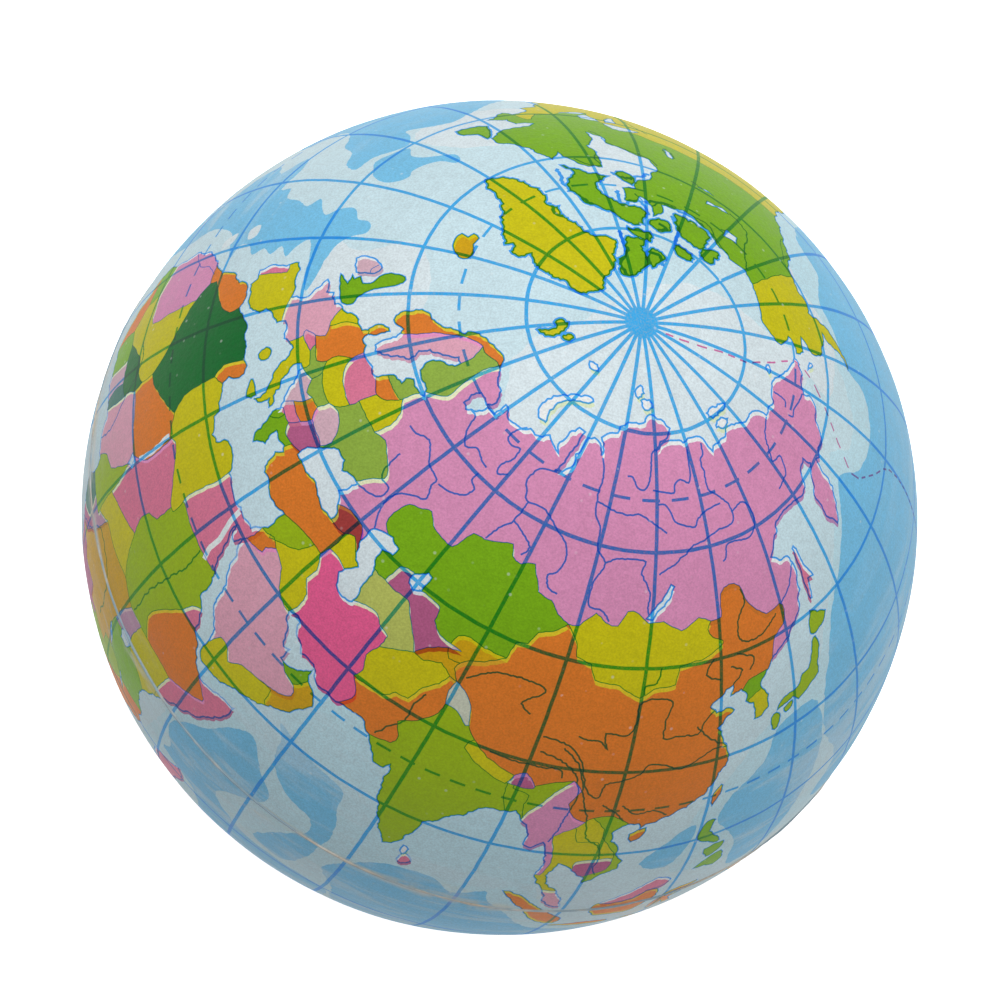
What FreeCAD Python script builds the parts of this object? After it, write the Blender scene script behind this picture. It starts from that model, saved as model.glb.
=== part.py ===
"""Squeeze ball: a flexible foam ball moulded inside two printed hemispherical film covers.

The ball is made in a two-part mould. A printed film cover lies in each half, liquid foam is poured in
and rises against both covers, and what squeezes out between their rims stays as a thin flash rib
round the equator. Each mould half is a little shallower than a true hemisphere, so the ball is
slightly shorter along its poles, and its two spherical faces meet at the seam in a faint ridge.

Frame: millimetres, origin at the ball's centre, +Z through the printed north pole, which is also
the mould's opening direction. +X passes through the seam at the print's zero meridian.
"""

import math
import os

import FreeCAD
import Part

# Driving dimensions, in millimetres.
SEAM_DIAMETER = 76.0  # across the equator, over the covers
POLE_HEIGHT = 75.0  # from south pole to north pole, over the covers
COVER_THICKNESS = 0.4  # printed film with the dense foam skin bonded to it
SEAM_GAP = 0.3  # between the two covers' rims, filled by the foam's flash rib
RIB_PROUD = 0.1  # how far the flash rib stands out of the covers

OUTPUT_FOLDER = "parts"

# Worked out from the driving dimensions.
HALF_GAP = SEAM_GAP / 2
HALF_HEIGHT = POLE_HEIGHT / 2
SEAM_RADIUS = SEAM_DIAMETER / 2
# A sphere through the pole and the seam: its centre lies a little beyond the equator.
MOULD_RADIUS = (SEAM_RADIUS**2 + HALF_HEIGHT**2) / (2 * HALF_HEIGHT)
CENTRE_SHIFT = MOULD_RADIUS - HALF_HEIGHT
FOAM_RADIUS = MOULD_RADIUS - COVER_THICKNESS
RIB_RADIUS = SEAM_RADIUS + RIB_PROUD

ORIGIN = FreeCAD.Vector(0, 0, 0)
UP = FreeCAD.Vector(0, 0, 1)


def radius_at(sphere_radius, height):
    """The distance from the polar axis of the north half's sphere, at a height above the equator."""
    return math.sqrt(sphere_radius**2 - (height + CENTRE_SHIFT) ** 2)


def point(radius, height):
    """A point of a half profile, which is drawn in the XZ plane and turned about the polar axis."""
    return FreeCAD.Vector(radius, 0, height)


def arc(sphere_radius, low, high):
    """The north half's arc of that radius, from one height up to another."""
    middle = (low + high) / 2
    ends = [point(radius_at(sphere_radius, h), h) for h in (low, middle, high)]
    return Part.Arc(*ends).toShape()


def line(start, end):
    return Part.LineSegment(start, end).toShape()


def turned(edges):
    """The solid made by a closed profile turned all the way round the polar axis."""
    face = Part.Face(Part.Wire(edges))
    return face.revolve(ORIGIN, UP, 360)


def north_cover():
    """The printed film cover of the north half, a bowl with a flat rim just above the equator."""
    foam_pole = HALF_HEIGHT - COVER_THICKNESS
    rim_out = point(radius_at(MOULD_RADIUS, HALF_GAP), HALF_GAP)
    rim_in = point(radius_at(FOAM_RADIUS, HALF_GAP), HALF_GAP)
    return turned(
        [
            arc(MOULD_RADIUS, HALF_GAP, HALF_HEIGHT),
            line(point(0, HALF_HEIGHT), point(0, foam_pole)),
            arc(FOAM_RADIUS, HALF_GAP, foam_pole),
            line(rim_in, rim_out),
        ]
    )


def mirrored_south(shape):
    """The same shape below the equator."""
    return shape.mirror(ORIGIN, UP)


def foam_half():
    """The foam inside the north cover, down to the equator, with its half of the flash rib."""
    foam_pole = HALF_HEIGHT - COVER_THICKNESS
    rib_foot = point(radius_at(FOAM_RADIUS, HALF_GAP), HALF_GAP)
    rib_top = point(RIB_RADIUS, HALF_GAP)
    rib_bottom = point(RIB_RADIUS, 0)
    return turned(
        [
            arc(FOAM_RADIUS, HALF_GAP, foam_pole),
            line(rib_foot, rib_top),
            line(rib_top, rib_bottom),
            line(rib_bottom, ORIGIN),
            line(ORIGIN, point(0, foam_pole)),
        ]
    )


def foam_core():
    """The one-piece moulded foam ball, both halves with the flash rib between the covers."""
    north = foam_half()
    return north.fuse(mirrored_south(north)).removeSplitter().Solids[0]


def save(name, shape):
    """Writes one closed solid to its STEP file and prints its size."""
    if not shape.isValid() or len(shape.Solids) != 1:
        raise RuntimeError(f"{name} is not one valid solid")
    shape.exportStep(os.path.join(OUTPUT_FOLDER, name + ".step"))
    box = shape.BoundBox
    print(f"{name}: {box.XLength:.2f} x {box.YLength:.2f} x {box.ZLength:.2f} mm, {shape.Volume:.0f} mm3")


def main():
    os.makedirs(OUTPUT_FOLDER, exist_ok=True)
    cover = north_cover().Solids[0]
    save("foam_core", foam_core())
    save("north_cover", cover)
    save("south_cover", mirrored_south(cover).Solids[0])


main()
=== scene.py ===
"""Looks of the foam globe ball: two printed covers and the foam seam between them.

The print is a political world map. Its outlines are longitude and latitude in degrees, written
here, and every colour area and outline is cut into the covers' meshes, so that the print
has crisp edges at any size. The grid of meridians and parallels, the grain and the wear are nodes.
"""

import math
from functools import reduce

import bpy
import numpy as np
from mathutils import Matrix, Vector, noise
from mathutils.geometry import delaunay_2d_cdt


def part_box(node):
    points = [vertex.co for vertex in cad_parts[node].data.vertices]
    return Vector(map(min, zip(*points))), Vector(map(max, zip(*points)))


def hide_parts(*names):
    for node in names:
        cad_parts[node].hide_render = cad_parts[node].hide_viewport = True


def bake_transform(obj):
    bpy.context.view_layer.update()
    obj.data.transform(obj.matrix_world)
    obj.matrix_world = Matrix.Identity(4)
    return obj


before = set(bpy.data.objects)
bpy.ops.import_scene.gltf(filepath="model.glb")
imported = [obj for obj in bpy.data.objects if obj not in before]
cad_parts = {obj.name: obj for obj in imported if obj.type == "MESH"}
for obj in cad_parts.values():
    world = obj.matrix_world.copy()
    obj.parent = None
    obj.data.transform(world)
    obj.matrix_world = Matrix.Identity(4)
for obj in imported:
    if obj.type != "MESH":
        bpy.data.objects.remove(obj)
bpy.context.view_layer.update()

# ---------------------------------------------------------------------------------------------
# The printed map: "longitude latitude" pairs in degrees, east and north positive. A bar parts two lines.
# ---------------------------------------------------------------------------------------------

MAINLANDS = {
    "europe_africa_asia": """
    28 71, 24.5 70.9, 20 70, 17 69.3, 14.6 68.3, 14 67.5, 14.8 67.1, 12.8 66, 11.6 64.7, 9.4 63.6, 6.6 62.9,
    5 61.8, 5.3 60.3, 5.4 59, 7.2 58.2, 8.8 58.6, 10.2 59.4, 11.2 59, 12.2 57.6, 13 55.6, 14.4 55.5,
    16 56.6, 17 58.2, 18.8 59.6, 18.4 60.4, 17.2 61, 17.6 62.4, 19.6 63.6, 21.4 64.8, 22.2 65.7, 24.3 65.7,
    24.6 64.9, 22.4 63.8, 21.3 62.8, 21.2 61.4, 22.6 60.6, 25 60.4, 28 60.6, 29.6 60, 27.8 59.6, 24.4 59.5,
    23.4 58.6, 24.2 57.9, 22.8 57.5, 21.5 57.2, 21 56.2, 20.8 55.2, 19.6 54.6, 18 54.8, 16.2 54.3, 14.2 54,
    12.6 54.4, 11 54, 10 54.8, 10.4 56.2, 10.2 57.6, 9.2 57.5, 8.2 56.8, 8.3 55.4, 8.7 54, 7 53.5, 5 53.2,
    4 52, 3 51.3, 1.7 50.9, 1.4 50.1, -0.4 49.6, -1.4 49.7, -1.7 48.7, -3 48.8, -4.7 48.4, -3 47.4,
    -1.7 46.4, -1.2 45, -1.7 43.5, -4.5 43.6, -7.6 43.8, -9.3 43.2, -8.8 41.4, -9.5 38.8, -8.8 37.1,
    -7 37.2, -6.2 36.3, -4.6 36.7, -2.2 36.8, -0.7 37.7, 0.1 38.8, -0.4 39.8, 1 41, 3 41.8, 3.1 43.1,
    4.8 43.4, 6.6 43.1, 8.2 44.1, 9 44.4, 10.3 43.8, 11.2 42.5, 12.6 41.4, 14.2 40.7, 15.6 39.9, 16.1 39,
    15.8 38, 16.7 38.5, 17 39.6, 16.8 40.4, 18.4 40, 17.8 40.9, 16 41.4, 16 41.9, 14.4 42.4, 13.6 43.5,
    12.4 44.3, 12.6 45.4, 13.7 45.6, 14 44.9, 15.2 44.5, 16.4 43.4, 18.5 42.3, 19.5 41.6, 19.4 40.4,
    20.6 39.2, 21.3 38.2, 21.5 37.2, 22.7 36.6, 23.3 37.6, 24 38.2, 23 39.4, 22.9 40.3, 24.2 40.2, 26 40.7,
    26.9 40.3, 26.2 39.2, 27 37.8, 28.3 36.8, 30.4 36.8, 32.4 36.2, 34 36.3, 36 36.9, 36.2 35, 35.5 33,
    34.6 31.6, 32.6 31.3, 31 31.6, 29 31.2, 25.2 31.7, 24.8 32.4, 23 33.1, 21.4 33.1, 20 32.4, 19.6 31,
    18.2 30.6, 15.6 31.4, 15.2 32.4, 12.6 33, 10.8 33.4, 10.2 34.4, 10.9 35.2, 10.8 36.9, 9.6 37.4, 7 37.1,
    3 37, 0 36.2, -2 35.3, -5.3 35.9, -6.2 35.7, -7.2 34, -9 33, -9.9 31.4, -10.2 29.9, -11.6 28.6,
    -13.2 27.8, -14.8 26.3, -16.2 24.2, -17.2 21.2, -16.5 19, -16.7 16.6, -17.4 14.7, -16.6 12.4, -15 11,
    -13.3 9.3, -12.8 8, -11 6.6, -7.6 4.5, -4.5 5.2, -2 4.9, 1 6, 4 6.4, 5.5 4.9, 7 4.5, 9 4.6, 9.8 3.2,
    9.5 1, 8.9 -0.8, 11 -3.8, 12.3 -6, 13.2 -9, 13.7 -12, 12.3 -14.6, 11.8 -17.3, 13.2 -20.2, 14.6 -22.8,
    15.2 -26.6, 17 -29.4, 18.2 -32, 18.4 -34.2, 20 -34.8, 23 -34, 26 -34, 28.5 -32.7, 31 -29.9, 32.8 -27.8,
    33 -25.5, 35.5 -24, 35.3 -21.5, 35 -19.8, 37 -17.7, 39.8 -16.3, 40.7 -14.6, 40.4 -11, 39.3 -8.6,
    38.9 -6, 39.6 -4, 41 -2, 43.4 0.6, 46 2.5, 48.2 4.6, 50 7.8, 51.3 10.4, 51.3 11.9, 48.6 11.5, 45 10.6,
    43.4 11.7, 42.4 13, 40.4 15, 39.2 17.4, 37.4 19.2, 37.3 21.2, 35.8 23.8, 34.5 26.3, 32.8 29.3,
    32.9 29.8, 34.1 28.4, 34.6 28.4, 35.2 29.8, 35.4 28.8, 36.8 26.4, 38.8 24, 39.3 21.8, 41 19.4,
    42.6 16.8, 42.9 13.6, 43.8 12.8, 46 13, 49 14.2, 52 15.5, 54.4 16.7, 57 18.4, 58.2 20.3, 59.4 22,
    58.2 23.8, 56.8 24.5, 56.2 26.2, 55 25, 53 24, 51.7 24.1, 51.8 25.9, 50.9 25.6, 50.3 26.6, 49 28.4,
    47.9 29.7, 49 30.2, 50.3 29.8, 51.4 28.1, 53.4 26.8, 55.8 27, 57 25.7, 60 25.3, 63 25.3, 66.4 25.2,
    67.8 24, 69 22.6, 70.4 20.6, 72 20.6, 72.6 21.6, 72.8 19, 73.4 16, 74.6 13, 75.8 10.4, 77.4 8, 78.4 8.6,
    79.4 10.2, 80.1 12.6, 80.4 15, 82.4 16.8, 84.8 18.6, 86 20.2, 87.6 21.2, 89.6 21.4, 91.2 21.9,
    92.4 20.4, 93.9 18.8, 94.3 16, 95.4 15.6, 96.8 17, 97.7 15, 98.4 12.4, 98 9.6, 98.7 8, 100.2 6.2,
    101.2 3.2, 103.4 1.4, 104.2 1.6, 103.5 4, 102.2 6.2, 100.8 7.2, 99.8 9.2, 99.6 10.8, 100.3 12.9,
    101.2 12.6, 102.4 11.8, 103.6 10.4, 104.8 9.8, 105 8.4, 106.8 10.2, 109 11.6, 109.2 13.4, 107.8 16,
    106.2 17.8, 105.9 19.4, 106.9 20.4, 108.2 21, 109.5 20.9, 109.9 20, 110.6 20.7, 113.4 21.6, 116.4 22.6,
    118.9 24.2, 120.2 26.2, 121.8 28.4, 122.2 30, 121.6 31.8, 120.6 33.4, 119.6 35, 121 36.2, 122.6 37,
    121 37.7, 119.2 37.4, 118 38.5, 119 39.2, 121 40.4, 122.4 40.7, 121.9 39.3, 124 39.7, 125.2 38.6,
    124.9 37.7, 126.4 37, 126.6 34.4, 128 34.4, 129.4 35.3, 129.5 37.2, 128 39, 128.4 39.9, 129.9 41,
    131 42.2, 132.8 43, 135.4 43.8, 137.6 45.4, 139.4 47.6, 140.6 50.4, 141.2 52.4, 140.4 54, 138 54.2,
    136 55.3, 138.4 57, 141.2 58.9, 144.8 59.4, 149 59.3, 151.6 58.9, 154.6 59.2, 155.4 60.2, 157.4 61.4,
    160 61.8, 161 60.4, 158.4 59.2, 156.4 57.8, 155.8 55.6, 156 53, 157.2 51.4, 158.8 52.6, 160.6 54.4,
    162.4 56.6, 162.8 58.8, 163.4 59.8, 164.6 59.4, 166.4 60.2, 169.6 60, 172 61.2, 174.6 62.2, 177.6 62.6,
    179.2 63.8, 178.4 64.8, 181.6 65.4, 185 65.2, 188.6 65.8, 189.8 66.6, 187 67.2, 184.4 67.8, 181 68.9,
    178 70, 174 70.2, 170.6 70, 168.6 69.4, 165 69.8, 161.4 69.6, 160.6 70.8, 158 71.6, 154 71.6,
    150.4 71.8, 146.6 72.4, 141.6 72.8, 139.4 72, 135 71.8, 132 71.8, 130.8 71.2, 129.6 72, 128.8 73.2,
    126 73.8, 121.6 73.9, 118.6 73.5, 114.6 74, 110.6 74, 107.4 73.5, 105.6 72.9, 107.6 74, 112 74.8,
    113.6 75.6, 111 76.5, 107 76.9, 103 77.5, 100 76.5, 95 76.2, 90.6 76, 87 75.2, 86.6 74.3, 82 73.7,
    80.2 73, 82.8 71.6, 82.6 70.8, 80.6 72.2, 77.4 72.6, 75 72.2, 74.8 71, 73.6 69.6, 74.2 67.8, 72.4 66.8,
    70.4 66.6, 71.6 68, 72 69.8, 72.2 71.6, 72.8 72.7, 69.8 72.8, 67.4 71.6, 66.4 69.8, 68 68.6, 65.6 69,
    62 69.8, 60.4 69, 58 68.6, 55.4 68.8, 53.6 68, 50.6 67.8, 47.4 67.6, 45.8 68.2, 43.6 68.4, 44 66.5,
    41 66.3, 40.2 64.8, 38 63.9, 36 64.1, 35 65.4, 36 66.6, 40 66.4, 41.2 67.6, 38.4 68.9, 34.4 69.2,
    31.4 70""",
    "americas": """
    -141 69.7, -148 70.4, -156.5 71.2, -163 70.2, -166.5 68.7, -162.4 67, -168 66, -166.6 64.6, -161.4 64.4,
    -166 62.8, -165.6 61, -162.4 60.2, -160.4 59.4, -158 59.2, -161.8 56.8, -166 54.8, -161 55.8, -155.4 58,
    -152.4 60.8, -149 60.2, -145.4 60.8, -140.6 60, -136.4 58.4, -132.6 55.8, -130 54, -127.2 51.4,
    -124.4 48.4, -124.2 43, -124 40, -121.8 36.6, -120.5 34.5, -117.2 32.7, -115 29.5, -112.3 26.5,
    -109.6 23, -111.6 26.4, -113.6 29.6, -114.4 31.6, -112.4 29.4, -109.5 26.2, -105.8 22, -105.3 20,
    -101.5 17.6, -96.5 15.8, -94.5 16.2, -91.5 14, -87.6 13, -85.8 11, -83.6 8.8, -80.5 7.4, -78.3 8.6,
    -77.4 6.5, -77.4 4, -79 1.6, -80.4 -0.8, -80.2 -3.2, -81.3 -4.6, -79.5 -7.6, -77.1 -12, -75.6 -15,
    -71.5 -17.6, -70.3 -20, -70.5 -25, -71.6 -30, -72.4 -35, -73.6 -39, -74.6 -44, -75 -50, -71.6 -53.8,
    -68.4 -55.3, -65.4 -54.8, -68.6 -52.4, -67.4 -49, -66 -45.4, -65 -42.3, -62.4 -40.4, -62 -38.9,
    -57.7 -38, -57.1 -36, -58.3 -34.2, -54.8 -34.9, -52 -32.6, -48.7 -28.5, -48 -25.5, -45 -23.4,
    -41.5 -22.4, -39.3 -18.4, -39 -13.4, -35.6 -9.4, -35 -6.4, -36.8 -4.9, -40 -2.9, -44 -2.5, -48.4 -0.8,
    -50.4 0.6, -51.6 4.2, -54.5 5.8, -58.4 6.8, -61.2 9, -62.4 10.6, -68 10.9, -71.2 12.2, -71.6 10.9,
    -75 10.9, -77 8.6, -79.6 9.5, -82 9, -83.7 11, -83.3 15, -86 15.9, -88.5 16, -87.6 18.5, -87 21.4,
    -90.3 21.1, -91 18.7, -94.5 18.2, -97.3 21.2, -97.5 25, -97 28, -94.4 29.5, -90 29.2, -88.4 30.4,
    -84.5 30, -82.8 28, -81.4 25.2, -80.2 26.6, -81.4 30.6, -78.4 33.6, -75.6 35.4, -76 37.4, -74 40.2,
    -70.4 41.6, -70.6 43.4, -67 44.8, -65.6 43.6, -61 45.8, -64.4 46.8, -65 48.8, -68.6 49.2, -65 50.2,
    -60 50.4, -56.6 51.8, -56.4 53.6, -60 55.6, -62 58, -64.6 60.2, -67.6 58.6, -69.6 60.6, -73.4 62.4,
    -77.6 62.4, -77.8 59, -76.6 56.6, -79 54.6, -78.8 52, -81.6 53, -82.2 55.2, -87 56.4, -92.4 57.2,
    -94.6 59.6, -92.4 62.6, -88 64.2, -86.6 66.4, -82 66.8, -81.6 69.4, -85.4 69.6, -87.8 68, -91 69,
    -93 71.4, -96 70.4, -96 68.4, -102 67.8, -108.6 67.8, -115 68.4, -120.4 69.8, -128 70.3, -135.5 69.3""",
    "australia": """
    113.8 -22.5, 114 -26.3, 115.7 -31.6, 115.1 -34.3, 118 -35, 123.5 -33.9, 126 -32.3, 131 -31.5, 134.4 -33,
    136 -34.8, 137.8 -33, 138.3 -35.6, 140.5 -38, 143.5 -38.8, 146.4 -39, 149.9 -37.5, 151.2 -33.8,
    153.3 -29.5, 153.2 -26, 150.8 -23.3, 148 -20, 146 -18.5, 145.4 -15, 143.6 -14, 142.5 -10.8, 141.6 -13,
    141 -17, 139.5 -17.6, 136 -15.5, 136.8 -12.2, 132.7 -11.3, 130.7 -12.6, 129.5 -15, 126.8 -13.9,
    124 -16.3, 122.2 -18, 119 -20, 115.5 -21.5""",
}

# Every other land is one colour: the fill, then its outlines with bars between them.
ISLANDS = {
    "green": """
    -5.8 50.1, -3.4 50.4, 1.2 51, 1.8 52.6, 0.2 53.2, -1.4 55, -2.2 57.4, -3.2 58.9, -5 59, -6 57, -5 55.6,
    -3.4 54.9, -3.2 53.5, -5 53, -4.4 52.2, -5.4 51.8, -3.4 51.4 | -53 46.8, -56.2 46.9, -59.2 47.8,
    -57.6 50.6, -55.8 51.6, -55.4 49.6, -53 48.6 | -65.6 61.8, -72 64, -78 64.5, -73.6 66, -73.4 68,
    -79 70.2, -88.4 70.6, -88.6 73.6, -81 73.8, -76 72.6, -68.4 70.6, -62 67.4, -64.4 65.2, -67.6 64 |
    -101.6 69, -109 68.7, -115.6 69.2, -117.8 71, -117.4 73, -108 73.2, -105 72.4, -102.4 70.6 | -125.6 72,
    -124.2 74.2, -119 74.2, -117.6 73, -120 71.8, -123.2 71 | -78 76.4, -89 76.5, -87.4 78.4, -92 80,
    -85.6 82.2, -75 83, -64 82.6, -66.6 80.8, -74.6 79, -76 77.8 | -80 74.6, -91.6 74.7, -92.4 76.6,
    -82.4 75.9 | -105.6 75.2, -115 75, -117.6 76.2, -108.4 76.7 | -91 72.8, -95 73.9, -101.4 73.2,
    -99.4 71.4, -93.2 72 | -93 77.6, -103 78.2, -100 79.8, -95.6 81, -90 79.6 | -80.6 63.8, -85.6 65.8,
    -87 64, -83.6 62.8 | 120.8 18.4, 122.2 18.3, 121.8 16, 124 13.6, 124 12.6, 121.6 13.8, 120.2 14.8,
    120 16.4 | 122.2 11.8, 125.2 12.2, 125 10.4, 123.2 9.4 | 122 6.8, 123.6 8.6, 125.6 9.6, 126.5 7.4,
    125.6 5.7, 124 6.6 | 172.8 -34.5, 175.6 -36.5, 178.4 -37.7, 176.8 -40, 175 -41.5, 175 -39.9,
    173.8 -39.2, 174.7 -37.5 | 172.8 -40.6, 174.2 -41.7, 172.7 -43.6, 170.8 -45.8, 168.5 -46.6, 166.5 -45.8,
    170.2 -43""",
    "leaf": """
    141.4 45.2, 143.2 44.2, 145.2 43.4, 143.4 42, 141 41.7, 140.4 42.6 | 141.3 41.2, 141.8 39.4, 140.8 37.4,
    140.7 35.6, 138.4 34.7, 135.8 33.7, 134.6 34.7, 131.2 34, 132.6 35.4, 135.8 35.8, 137 37.2, 138.6 37.4,
    139.9 39.4, 140.3 40.8 | 131 33.7, 131.8 32.8, 131.2 31.2, 130.2 31.3, 130 33.2 | 132.6 33.7,
    134.4 34.2, 134.2 33.3, 133 32.9 | -84.9 21.9, -82.5 23.1, -79.5 22.8, -74.3 20.2, -77.6 19.9, -78 21,
    -82 22.3 | 144.8 -40.8, 148.2 -40.8, 148 -43, 146 -43.5 | 164 -20.2, 167 -22.3 | 178 -17, 179.4 -17.6,
    178.6 -18.6, 177.2 -18.2""",
    "yellow": """
    -44 59.9, -47.6 60.8, -50.4 62.8, -52.4 65, -53.4 67, -51 68.6, -54 69.6, -52.2 71, -55.4 73, -57 75,
    -60 76, -66 76.2, -71 77.6, -67 79, -62.4 81, -53 82.2, -45 82.4, -36 83.5, -27 83.2, -20 82.2,
    -15 81.2, -17.6 79.6, -19.4 77, -20 75.2, -22 74.2, -26 73.2, -22.6 72.4, -22 71.2, -26.6 70.4,
    -24.6 69.6, -30 68.2, -34.6 66.4, -39.6 65, -41 63.2, -42.4 61 | 10.8 79.2, 14 80.3, 19 79.8, 22.4 78.4,
    21.8 77, 17.2 76.2, 18 77.6, 16 78.7, 13.4 78.5 | 23 79.3, 23.6 80.3, 27.8 80.5, 28.4 79.5, 25.4 79 |
    12.4 38.2, 15.4 38.4, 15 36.9, 12.8 37.6 | 7.3 40.4, 8.3 41.2, 9.6 40.7, 9.5 39.6, 8.2 39.2 |
    -66.2 18.4, -67.2 18.3, -66.2 17.9""",
    "amber": """
    -24 65.2, -23 66.2, -20 66, -17 66.6, -14 66.2, -13.8 65, -16.6 63.8, -20 63.4, -22.6 63.8, -22 64.8""",
    "shell": """
    -6.2 52.2, -9.8 51.6, -10.4 53, -9.4 54.6, -7.4 55.6, -5.8 54.8, -6 53.4""",
    "orange": """
    121.6 25.2, 120.4 23.4, 120.8 21.6, 121.9 24.2 | 108.6 19, 110.8 20, 110.6 18.4, 109.2 17.4 | 95.2 5.2,
    97.6 4.6, 100.6 1.8, 103.6 -1, 106 -3.2, 105.7 -5.8, 103 -4.8, 101 -2.5, 98.8 1 | 109 0.2, 109.6 1.9,
    111.4 1.2, 114.8 1.8, 116 3.6, 117.8 3.4, 118.4 1, 117.5 -0.8, 116.3 -3.8, 114.5 -4, 110.3 -2.8 |
    105.3 -6.7, 108.5 -6.6, 111 -6.4, 114.4 -7.6, 114.2 -8.6, 110 -8.1, 106.5 -7.3 | 119.8 0.5, 121 1.2,
    124.8 1.5, 124 0.5, 120.6 0.2, 120.8 -1, 123.2 -0.9, 121.6 -1.9, 122.8 -4.5, 121.5 -4.7, 120.8 -2.8,
    120.2 -5.5, 119.4 -5.4, 119 -3, 119.6 -0.8 | 131 -0.8, 134 -0.8, 135 -3.3, 138 -1.7, 141 -2.6, 141 -9.1,
    139 -8.1, 137.8 -5.2, 134.2 -4, 132.7 -3.6 | 124.5 -10, 127 -8.4, 125.5 -9.6 | 116 -8.4, 118.8 -8.5,
    120.6 -10, 117 -9""",
    "rose": """
    48.2 -13.4, 49.4 -12, 50.5 -15.5, 49.4 -18.3, 47.3 -24.8, 45 -25.5, 43.4 -22.5, 44.4 -19.8, 44.2 -16.3 |
    109.8 2, 111.6 3, 114 5, 116.6 7.2, 119 5.6, 117.8 4, 116 3.8, 114.6 2, 111.5 1.4 | 142.4 54.4,
    143.4 54, 143.6 51.6, 145 49.2, 143.4 49.4, 142.9 46.6, 142.2 47.4, 142.4 50.6 | 80.6 7.6, 81.4 7.4,
    82 6.4, 81 5.2, 80.2 5.8 | -61.6 -51.6, -58 -51.5, -58.6 -52.3, -61 -52.2 | -74.4 18.5, -72.8 19.9,
    -69.8 19.8, -68.4 18.5, -71.4 17.8""",
    "lilac": """
    141 -2.6, 144.5 -3.8, 147.8 -6, 150.8 -10.3, 147.5 -9.9, 144.5 -7.7, 142.5 -9.2, 141 -9.1 | -78.4 18.4,
    -76.4 18.2, -77.2 17.8 | 152 -4.4, 151.4 -5.8, 148.6 -5.8 | 156 -6.6, 160.8 -9.4, 157.4 -8.2""",
    "white": """
    51.6 71.8, 52.4 73.4, 55 75, 60 76.2, 66 77, 69 76.7, 66 76, 60 75.3, 56.6 74, 55.6 72.2, 57.6 70.7,
    53.6 70.8 | 92 80.2, 96 81.2, 99 80.2, 95 79.4 | 97 79.2, 103 79.4, 105 78.4, 100 78 | 138 73.6,
    141.6 74.2, 145.6 73.6, 142 73 | 137.4 75.8, 143 76, 150 75.2, 146 74.8, 139 74.8 | 178.6 71, 181 71.6,
    182.4 71.2, 180.4 70.8 | 188 64, 190.4 63.6, 190 63 | 50 80.6, 56 81, 60 80.4, 54 80 | 80 9.2, 80.8 8.8,
    80.6 7.4, 80 7.8 | -180 -77.6, -165 -78, -150 -76.6, -135 -74.6, -115 -74, -100 -72.6, -85 -73, -75 -72,
    -68 -68.6, -62 -64.6, -57.4 -63.3, -61 -66, -62 -71, -62 -75, -50 -78, -36 -78.2, -26 -75.6, -12 -71.6,
    0 -70, 15 -69.8, 33 -68.8, 40 -69.6, 52 -66.1, 60 -67.4, 70 -68.8, 78 -68.6, 88 -66.6, 100 -65.6,
    113 -66, 125 -66.6, 136 -66.2, 147 -68, 160 -69.8, 170 -71.6, 166 -75, 163 -78, 172 -78.4""",
}

LAKES = """
    28.6 42, 28.3 43.6, 29.4 45, 30.4 46.2, 31.6 47.3, 34 47.4, 35.4 46.5, 37 47.2, 39.2 47.4, 38.9 45.8,
    38.2 44.8, 40 43.9, 41.4 42.9, 41.4 42, 39 41.7, 36.6 42.1, 34.6 42.7, 32 42.1, 30 42.2 | 47.4 45.4,
    48.8 46.3, 51.2 46.9, 53.4 46.4, 53.4 45.3, 51.4 44.8, 51.6 43.6, 52.4 42.8, 53.2 41.6, 53.2 40,
    53.8 38.6, 53.8 37.2, 52.2 36.7, 50.2 37.2, 49 38.6, 50 40.2, 50.6 41, 48.6 42, 47.6 43.4 | 58.4 45.2,
    59.6 46.2, 60.4 46.8, 61.4 46.6, 61.4 44.4, 60 43.8, 58.8 44.2 | 31.8 0.2, 33.6 0.5, 34.2 -0.8,
    33.4 -2.4, 32 -2.4 | 13.2 14.6, 14.2 15, 14.8 14, 14 13.2 | -92 46.7, -89 48.3, -86 48.6, -84.6 46.8,
    -88 46.7 | -87.8 42, -87.6 45, -85.4 45.8, -86.2 43.6 | -84 46, -80.4 45.6, -80.2 44.4, -82.4 43.2,
    -83.6 45 | -83 41.7, -79 42.9, -76.6 44, -79.4 43.4, -81.6 42.8 | -125 66.4, -120 67, -119.6 65.4,
    -123.6 65.2 | -116.6 61.4, -110 62.6, -110 61.8, -114.6 61 | -98.8 53.8, -97.6 53.6, -96.6 51,
    -98.2 51.6 | -111 59.2, -106 59.4, -108.6 58.8 | 103.8 51.6, 106 53.4, 109 55.9, 109.8 55.6, 107.6 53.2,
    105.2 51.4 | 29.2 -3.6, 30.2 -5.6, 31 -8.6, 29.8 -6.2 | 34 -9.8, 34.8 -12, 35.2 -14.2, 34.4 -12.4"""

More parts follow.
